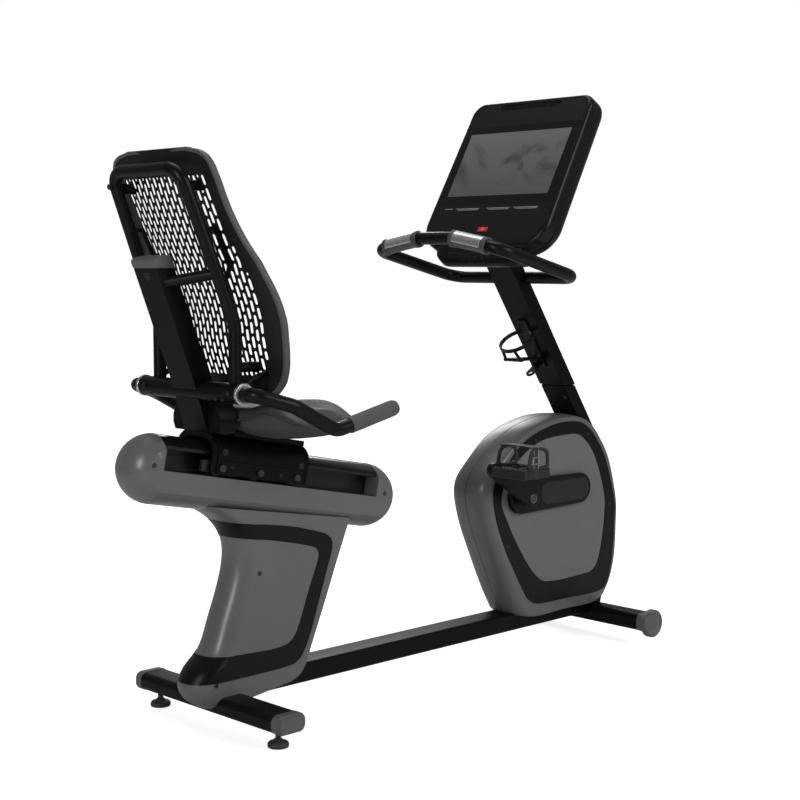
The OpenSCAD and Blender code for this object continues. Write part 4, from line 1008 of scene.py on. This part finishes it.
for side in (1, -1):
    for what, y, places in (("housing", RAIL_HALF_W, ((-199, 602), (455, 475))),
                            ("pedestal", PEDESTAL_HALF_W + 0.1, ((80, 337), (-42, 108)))):
        for k, (x, z) in enumerate(places):
            screw_dimple(f"{what}_screw_{k}_{side + 1}", at(x, side * y, z), (0, side, 0), 7)

# ---- seat cushion ----

SEAT_OUTLINE = [
    (0, 0), (4, 120), (38, 184), (110, 208), (180, 206), (226, 194), (284, 148), (336, 86),
    (361, 0), (336, -86), (284, -148), (226, -194), (180, -206), (110, -208), (38, -184), (4, -120),
]
SEAT_MID = (170, 0)


def near(v, w):
    return exp(-(v * v) / (w * w))


def ramp(v):
    return min(1, max(0, v))


def seat_top(x, y):
    return (684 + 13 * near(abs(y) - 150, 42) * ramp((290 - x) / 80)
            + 18 * near(y, 52) * ramp((x - 90) / 150) + 34 * near(x, 52)
            + 14 * near(x, 70) * ramp((abs(y) - 110) / 60))


def seat_bottom(x, y):
    return (630 + 26 * near(x + 10, 90) + 12 * near(x - 370, 70)
            + 16 * ramp((abs(y) - 90) / 130))


seat_curve = closed_curve(SEAT_OUTLINE, 6)


def seat_ring(rho, up):
    """A ring at a share rho of the outline, on the cushion's upper or lower face."""
    ring = []
    for p in seat_curve:
        x, y = SEAT_MID[0] + (p[0] - SEAT_MID[0]) * rho, p[1] * rho
        top, bottom = seat_top(x, y), seat_bottom(x, y)
        middle = bottom + (top - bottom) * 0.52
        h = sqrt(max(0, 1 - rho ** 5))
        ring.append(at(x, y, middle + ((top if up else bottom) - middle) * h))
    return ring


SEAT_STEPS = [0.06, 0.16, 0.28, 0.4, 0.52, 0.63, 0.73, 0.81, 0.87, 0.915, 0.95, 0.975, 0.99,
              0.998]
seat_rings = ([seat_ring(q, False) for q in SEAT_STEPS] + [seat_ring(1, True)]
              + [seat_ring(q, True) for q in reversed(SEAT_STEPS)])
pad_mesh = mesh_of("pad", *loft(seat_rings))


def puffed(mesh, pressure, cap, hold):
    """The mesh as a closed cloth skin, blown up a little and set; hold says which points stay."""
    obj = shown_object("pad_skin", mesh)
    scene = bpy.context.scene
    mod = obj.modifiers.new("even", "REMESH")
    mod.mode = "VOXEL"
    mod.voxel_size = 0.006
    graph = bpy.context.evaluated_depsgraph_get()
    even = bpy.data.meshes.new_from_object(obj.evaluated_get(graph))
    obj.modifiers.clear()
    obj.data = even
    group = obj.vertex_groups.new(name="hold")
    for v in even.vertices:
        weight = hold(v.co)
        if weight > 0:
            group.add([v.index], weight, "REPLACE")
    cloth = obj.modifiers.new("puff", "CLOTH")
    cloth.point_cache.frame_start, cloth.point_cache.frame_end = 1, 20
    cloth.settings.effector_weights.gravity = 0
    for key, value in {"use_pressure": True, "uniform_pressure_force": pressure, "quality": 4,
                       "vertex_group_mass": "hold", "tension_stiffness": 30,
                       "compression_stiffness": 30}.items():
        setattr(cloth.settings, key, value)
    for number in range(1, 21):
        scene.frame_set(number)
    graph = bpy.context.evaluated_depsgraph_get()
    blown = obj.evaluated_get(graph).to_mesh()
    moved = [v.co.copy() for v in blown.vertices]
    obj.evaluated_get(graph).to_mesh_clear()
    scene.frame_set(1)
    for v, now in zip(even.vertices, moved):
        step = now - v.co
        v.co += step * min(1, cap / max(step.length, 1e-9))
    bpy.data.objects.remove(obj)
    with editing(even, even, outward=False) as work:
        for _ in range(3):
            bmesh.ops.smooth_vert(work, verts=work.verts, factor=0.5, use_axis_x=True,
                                  use_axis_y=True, use_axis_z=True)
    return even


board_z = at(0, 0, 650).z
pad_mesh = puffed(pad_mesh, 4, 0.006, lambda p: ramp((board_z - p.z) / 0.02 + 1))
cushion = piece("seat_pad", pad_mesh, "seat_vinyl", "seat", angle=180)
finer = cushion.modifiers.new("finer", "SUBSURF")
finer.levels = finer.render_levels = 1
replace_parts(cushion, "seat_cushion")
seam = [p + Vector((0, 0, -0.004)) for p in seat_ring(1.0, True)]
seam_centre = at(*SEAT_MID, 660)
seam = [seam_centre + (p - seam_centre) * 1.001 for p in seam]
tube("seat_piping", seam + seam[:1], 4.2, "seat_piping", "seat", "seat_vinyl", 10, False)

# ---- spine, cross tube and side handles ----


def spine_rear(z):
    return -82 - (z - 768) * (0.384 if z > 768 else 0.31)


screw_dimple("spine_screw", at(spine_rear(990), 0, 990), (-1, 0, -0.384), 12, "seat")
for side, label in SIDES:
    for k, (y, turn) in enumerate(((150, 5), (128, -35), (104, -35))):
        a = radians(180 + turn)
        out = Vector((cos(a), 0, -sin(a)))
        hex_bolt(f"cross_bolt_{label}_{k}", at(CROSS_X, side * y, CROSS_Z) + out * 21.3 * MM, out,
                 9 if k == 0 else 5, "seat")
    low, end = (at(x, side * GRIP_Y, z) for x, z in ((134, 664), (305, 703)))
    path = bent_path([at(CROSS_X, side * 113, CROSS_Z), at(CROSS_X, side * 214, CROSS_Z),
                      at(22, side * 244, 723), low, end], [0, 27, 60, 45, 0], 12)
    handle = tube("side_handle_" + label, path, HANDLE_D, "frame_black", "seat", "powder_black",
                  36)
    axis = (end - low).normalized()
    grip = lathe("side_grip_" + label,
                 [(15.6, 0), (17, 0.2), (17.8, 1.2), (18, 3), (18, 126), (17.6, 131),
                  (16.2, 135.8), (13.6, 139.4), (10, 141.6), (5, 142.6), (0, 142.8)],
                 end - axis * 138 * MM, axis, "foam_grey", "seat", sides=56, angle=60)
    tube("panel_stay_" + label, bent_path([at(-40, side * 152, 759), at(-14, side * 152, 776),
                                           at(36, side * 148, 788)], [0, 20, 0], 6),
         13, "powder_black", "seat", sides=20)
    if side > 0:
        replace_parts(handle, "side_handles")
        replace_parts(grip, "handle_grips")

# ---- back frame: one bent tube and two braces ----

corners = [(-44, 134, 752), (-44, 134, 890), (-171.2, 120, 1208)]
loop = [at(*p) for p in corners] + [at(x, -y, z) for x, y, z in reversed(corners)]
hoop = tube("back_hoop", bent_path(loop, [0, 80, 42, 42, 80, 0], 12), 28, "frame_black", "seat",
            "powder_black", 36)
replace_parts(hoop, "back_frame")
for side, label in SIDES:
    tube("back_brace_" + label, [at(spine_rear(996) + 24, side * 31, 976),
                                 at(-86.4, side * 130, 996)], 24, "frame_black", "seat",
         "powder_black", 32)
    hex_bolt("corner_bolt_" + label, at(-176, side * 121, 1177), (-0.93, 0, -0.37), 10, "seat")

# ---- back panel: a hollowed sheet with rows of slots and a paler rim ----

PANEL_T = 1.8
PANEL_WIDTH = [
    (726, 107), (732, 133), (744, 160), (765, 185), (800, 204), (844, 213.5), (913, 216),
    (968, 210), (1019, 196), (1070, 181), (1124, 173), (1185, 174), (1215, 171), (1233, 159),
    (1243, 139), (1250, 104),
]
PANEL_EDGE = [
    (726, 48), (844, 27), (913, 13), (1019, -31), (1070, -61), (1124, -88.5), (1185, -116.5),
    (1215, -130), (1250, -140),
]
PANEL_HOLLOW = [(726, 20), (844, 34), (968, 30), (1124, 16), (1250, 6)]
# how far the slots stay from the side edge, by height
PANEL_MARGIN = [(726, 60), (800, 46), (900, 44), (1000, 39), (1088, 34), (1150, 28), (1250, 26)]
COLUMN, ROW, SLOT_W, SLOT_L = 13.4, 30.5, 8, 24.5
SLOT_LOW, SLOT_HIGH = 778, 1196


def panel_x(y, z, out):
    w = line_at(PANEL_WIDTH, z)
    v = max(-1, min(1, y / w))
    return line_at(PANEL_EDGE, z) - line_at(PANEL_HOLLOW, z) * (1 - v * v) + out


levels = [726, 726.6, 727.6, 729, 731, 734, 738, 743, 750, 758, 768, 780]
levels += steps_between(792, 1200, 34) + [1208, 1215, 1221, 1227, 1232, 1237, 1241, 1244, 1246.5,
                                          1248.4, 1249.5, 1250]
edge_line = [(line_at(PANEL_WIDTH, z), z) for z in levels]
edge_line += [(-y, z) for y, z in reversed(edge_line)]


def slot_loop(y, z0, z1, n=5):
    r = min(SLOT_W, z1 - z0) / 2
    return arc(y, z1 - r, r, 0, 180, n) + arc(y, z0 + r, r, 180, 180, n)


def clipped(y, z0, z1):
    """The part of a slot that stays inside the perforated field."""
    inside = [z for z in steps_between(z0, z1, 12)
              if SLOT_LOW <= z <= SLOT_HIGH
              and abs(y) + 2 <= line_at(PANEL_WIDTH, z) - line_at(PANEL_MARGIN, z)]
    return (inside[0], inside[-1]) if len(inside) > 3 else None


def prisms(loops, x0, x1):
    """Flat loops in y and z, each made a solid from x0 to x1."""
    points, faces = [], []
    for loop in loops:
        n, count = len(points), len(loop)
        points += [(x * MM, y * MM, z * MM) for x in (x0, x1) for y, z in loop]
        faces += [(n + k, n + (k + 1) % count, n + count + (k + 1) % count, n + count + k)
                  for k in range(count)]
        faces += [tuple(n + k for k in reversed(range(count))),
                  tuple(n + count + k for k in range(count))]
    return shown_object("prisms", mesh_of("prisms", points, faces, weld=False))


slots = []
for k in range(-14, 15):
    y = k * COLUMN
    start = SLOT_LOW + (0 if k % 2 == 0 else ROW / 2) - ROW
    for row in range(16):
        z0 = start + row * ROW
        span = clipped(y, z0, z0 + SLOT_L)
        if span:
            slots.append(slot_loop(y, *span))
sheet, cutter = prisms([edge_line], 0, PANEL_T), prisms(slots, -3, PANEL_T + 3)
cut = sheet.modifiers.new("slots", "BOOLEAN")
cut.operation, cut.solver, cut.object = "DIFFERENCE", "MANIFOLD", cutter
graph = bpy.context.evaluated_depsgraph_get()
panel_mesh = bpy.data.meshes.new_from_object(sheet.evaluated_get(graph))
bpy.data.objects.remove(sheet)
bpy.data.objects.remove(cutter)
with editing(panel_mesh, panel_mesh, outward=False) as work:
    bmesh.ops.triangulate(work, faces=[f for f in work.faces if len(f.verts) > 4])
    for places, normal in ((steps_between(740, 1240, 25), Vector((0, 0, 1))),
                           (steps_between(-187, 187, 17), Vector((0, 1, 0)))):
        for place in places:
            bmesh.ops.bisect_plane(work, geom=work.verts[:] + work.edges[:] + work.faces[:],
                                   plane_co=normal * place * MM, plane_no=normal, dist=1e-6)
    for v in work.verts:
        x, y, z = (c / MM for c in v.co)
        v.co = at(panel_x(y, z, x), y, z)
back = piece("back_shell", panel_mesh, "back_black", "seat", angle=40)
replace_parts(back, "back_panel")

RIM_SECTION = round_rect(-6, 2.2, -3, 10.6, 2, 3)
rings = []
for i, (y, z) in enumerate(edge_line):
    (ya, za), (yb, zb) = edge_line[i - 1], edge_line[(i + 1) % len(edge_line)]
    along = Vector((yb - ya, zb - za)).normalized()
    out = Vector((along.y, -along.x))
    if out.dot(Vector((y, z - 985))) < 0:
        out = -out
    rings.append([at(panel_x(y + out.x * min(u, 0), z + out.y * min(u, 0), t), y + out.x * u,
                     z + out.y * u) for u, t in RIM_SECTION])
lofted("back_rim", rings + rings[:1], "back_rim", "seat", "back_black", 40, False)


# ---- floor, light and camera ----


def backdrop(name, colour, lift):
    """A white floor: lit and shadowed near the machine, plain white to the camera further off."""
    n = Nodes(bpy.data.materials.new(name))
    reach = n.add("ShaderNodeVectorMath", "Value", {0: n.place}, operation="LENGTH")
    far = n.spread(reach, lift, 1.0, 1.0, 2.6, interpolation_type="SMOOTHSTEP")
    n.put(n.end, {"Base Color": colour, "Roughness": 0.85, "Specular IOR Level": 0.0,
                  "Emission Color": (1, 1, 1),
                  "Emission Strength": n.times(far, n.add("ShaderNodeLightPath", "Is Camera Ray"))})
    return n.owner


floor_mesh = bpy.data.meshes.new("floor")
SPAN = 14
floor_mesh.from_pydata([(-SPAN, -SPAN, 0), (SPAN, -SPAN, 0), (SPAN, SPAN, 0), (-SPAN, SPAN, 0)],
                       [], [(0, 1, 2, 3)])
floor = shown_object("floor", floor_mesh)
floor.data.materials.append(backdrop("floor_white", (0.8, 0.8, 0.8), 0.78))
floor.location.z = -0.0005
floor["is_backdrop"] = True

scene = bpy.context.scene
scene.view_settings.view_transform = "Standard"
world = bpy.data.worlds.new("studio")
scene.world = world
n = Nodes(world, "Background")
ahead = n.add("ShaderNodeVectorMath", "Value",
              {0: n.add("ShaderNodeTexCoord", "Generated"), 1: (0.66, 0.68, 0.32)},
              operation="DOT_PRODUCT")
glow = n.spread(ahead, 0.045, 0.26, -0.35, 0.75, interpolation_type="SMOOTHSTEP")
level = n.add("ShaderNodeMix", "Result",
              {"Factor": n.add("ShaderNodeLightPath", "Is Camera Ray"), "A": glow, "B": 1.0})
n.put(n.end, {"Color": (1, 1, 1), "Strength": level})


def stand(name, data, place, look):
    """Puts a lamp or camera at a place, facing along look."""
    obj = shown_object(name, data)
    obj.location = place
    obj.rotation_mode = "QUATERNION"
    obj.rotation_quaternion = look.to_track_quat("-Z", "Y")
    return obj


def lamp(name, place, aim, size, power, size_y=None):
    data = bpy.data.lights.new(name, "AREA")
    data.shape = "RECTANGLE"
    data.size, data.size_y = size, size_y or size
    data.energy = power
    stand(name, data, Vector(place), Vector(aim) - Vector(place))


lamp("side", (1.0, -4.4, 2.7), (0.1, 0, 0.6), 2.2, 95)
lamp("rear strip", (-3.7, -0.9, 1.9), (-0.2, 0, 0.6), 0.3, 42, 1.7)
lamp("top", (0.4, 0.6, 4.2), (0, 0, 0.6), 2.2, 40)
lamp("rim", (2.4, 2.9, 2.4), (0, 0, 0.8), 1.4, 30)

camera_data = bpy.data.cameras.new("camera")
camera_data.sensor_width = 36
camera_data.lens = 69.5
camera_data.clip_start = 0.05
camera_data.clip_end = 60
YAW, PITCH = radians(45.91), radians(-5.12)
look = Vector((cos(YAW) * cos(PITCH), sin(YAW) * cos(PITCH), sin(PITCH)))
scene.camera = stand("camera", camera_data, at(-2028.8, -2675.5, 1020), look)

low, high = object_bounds()
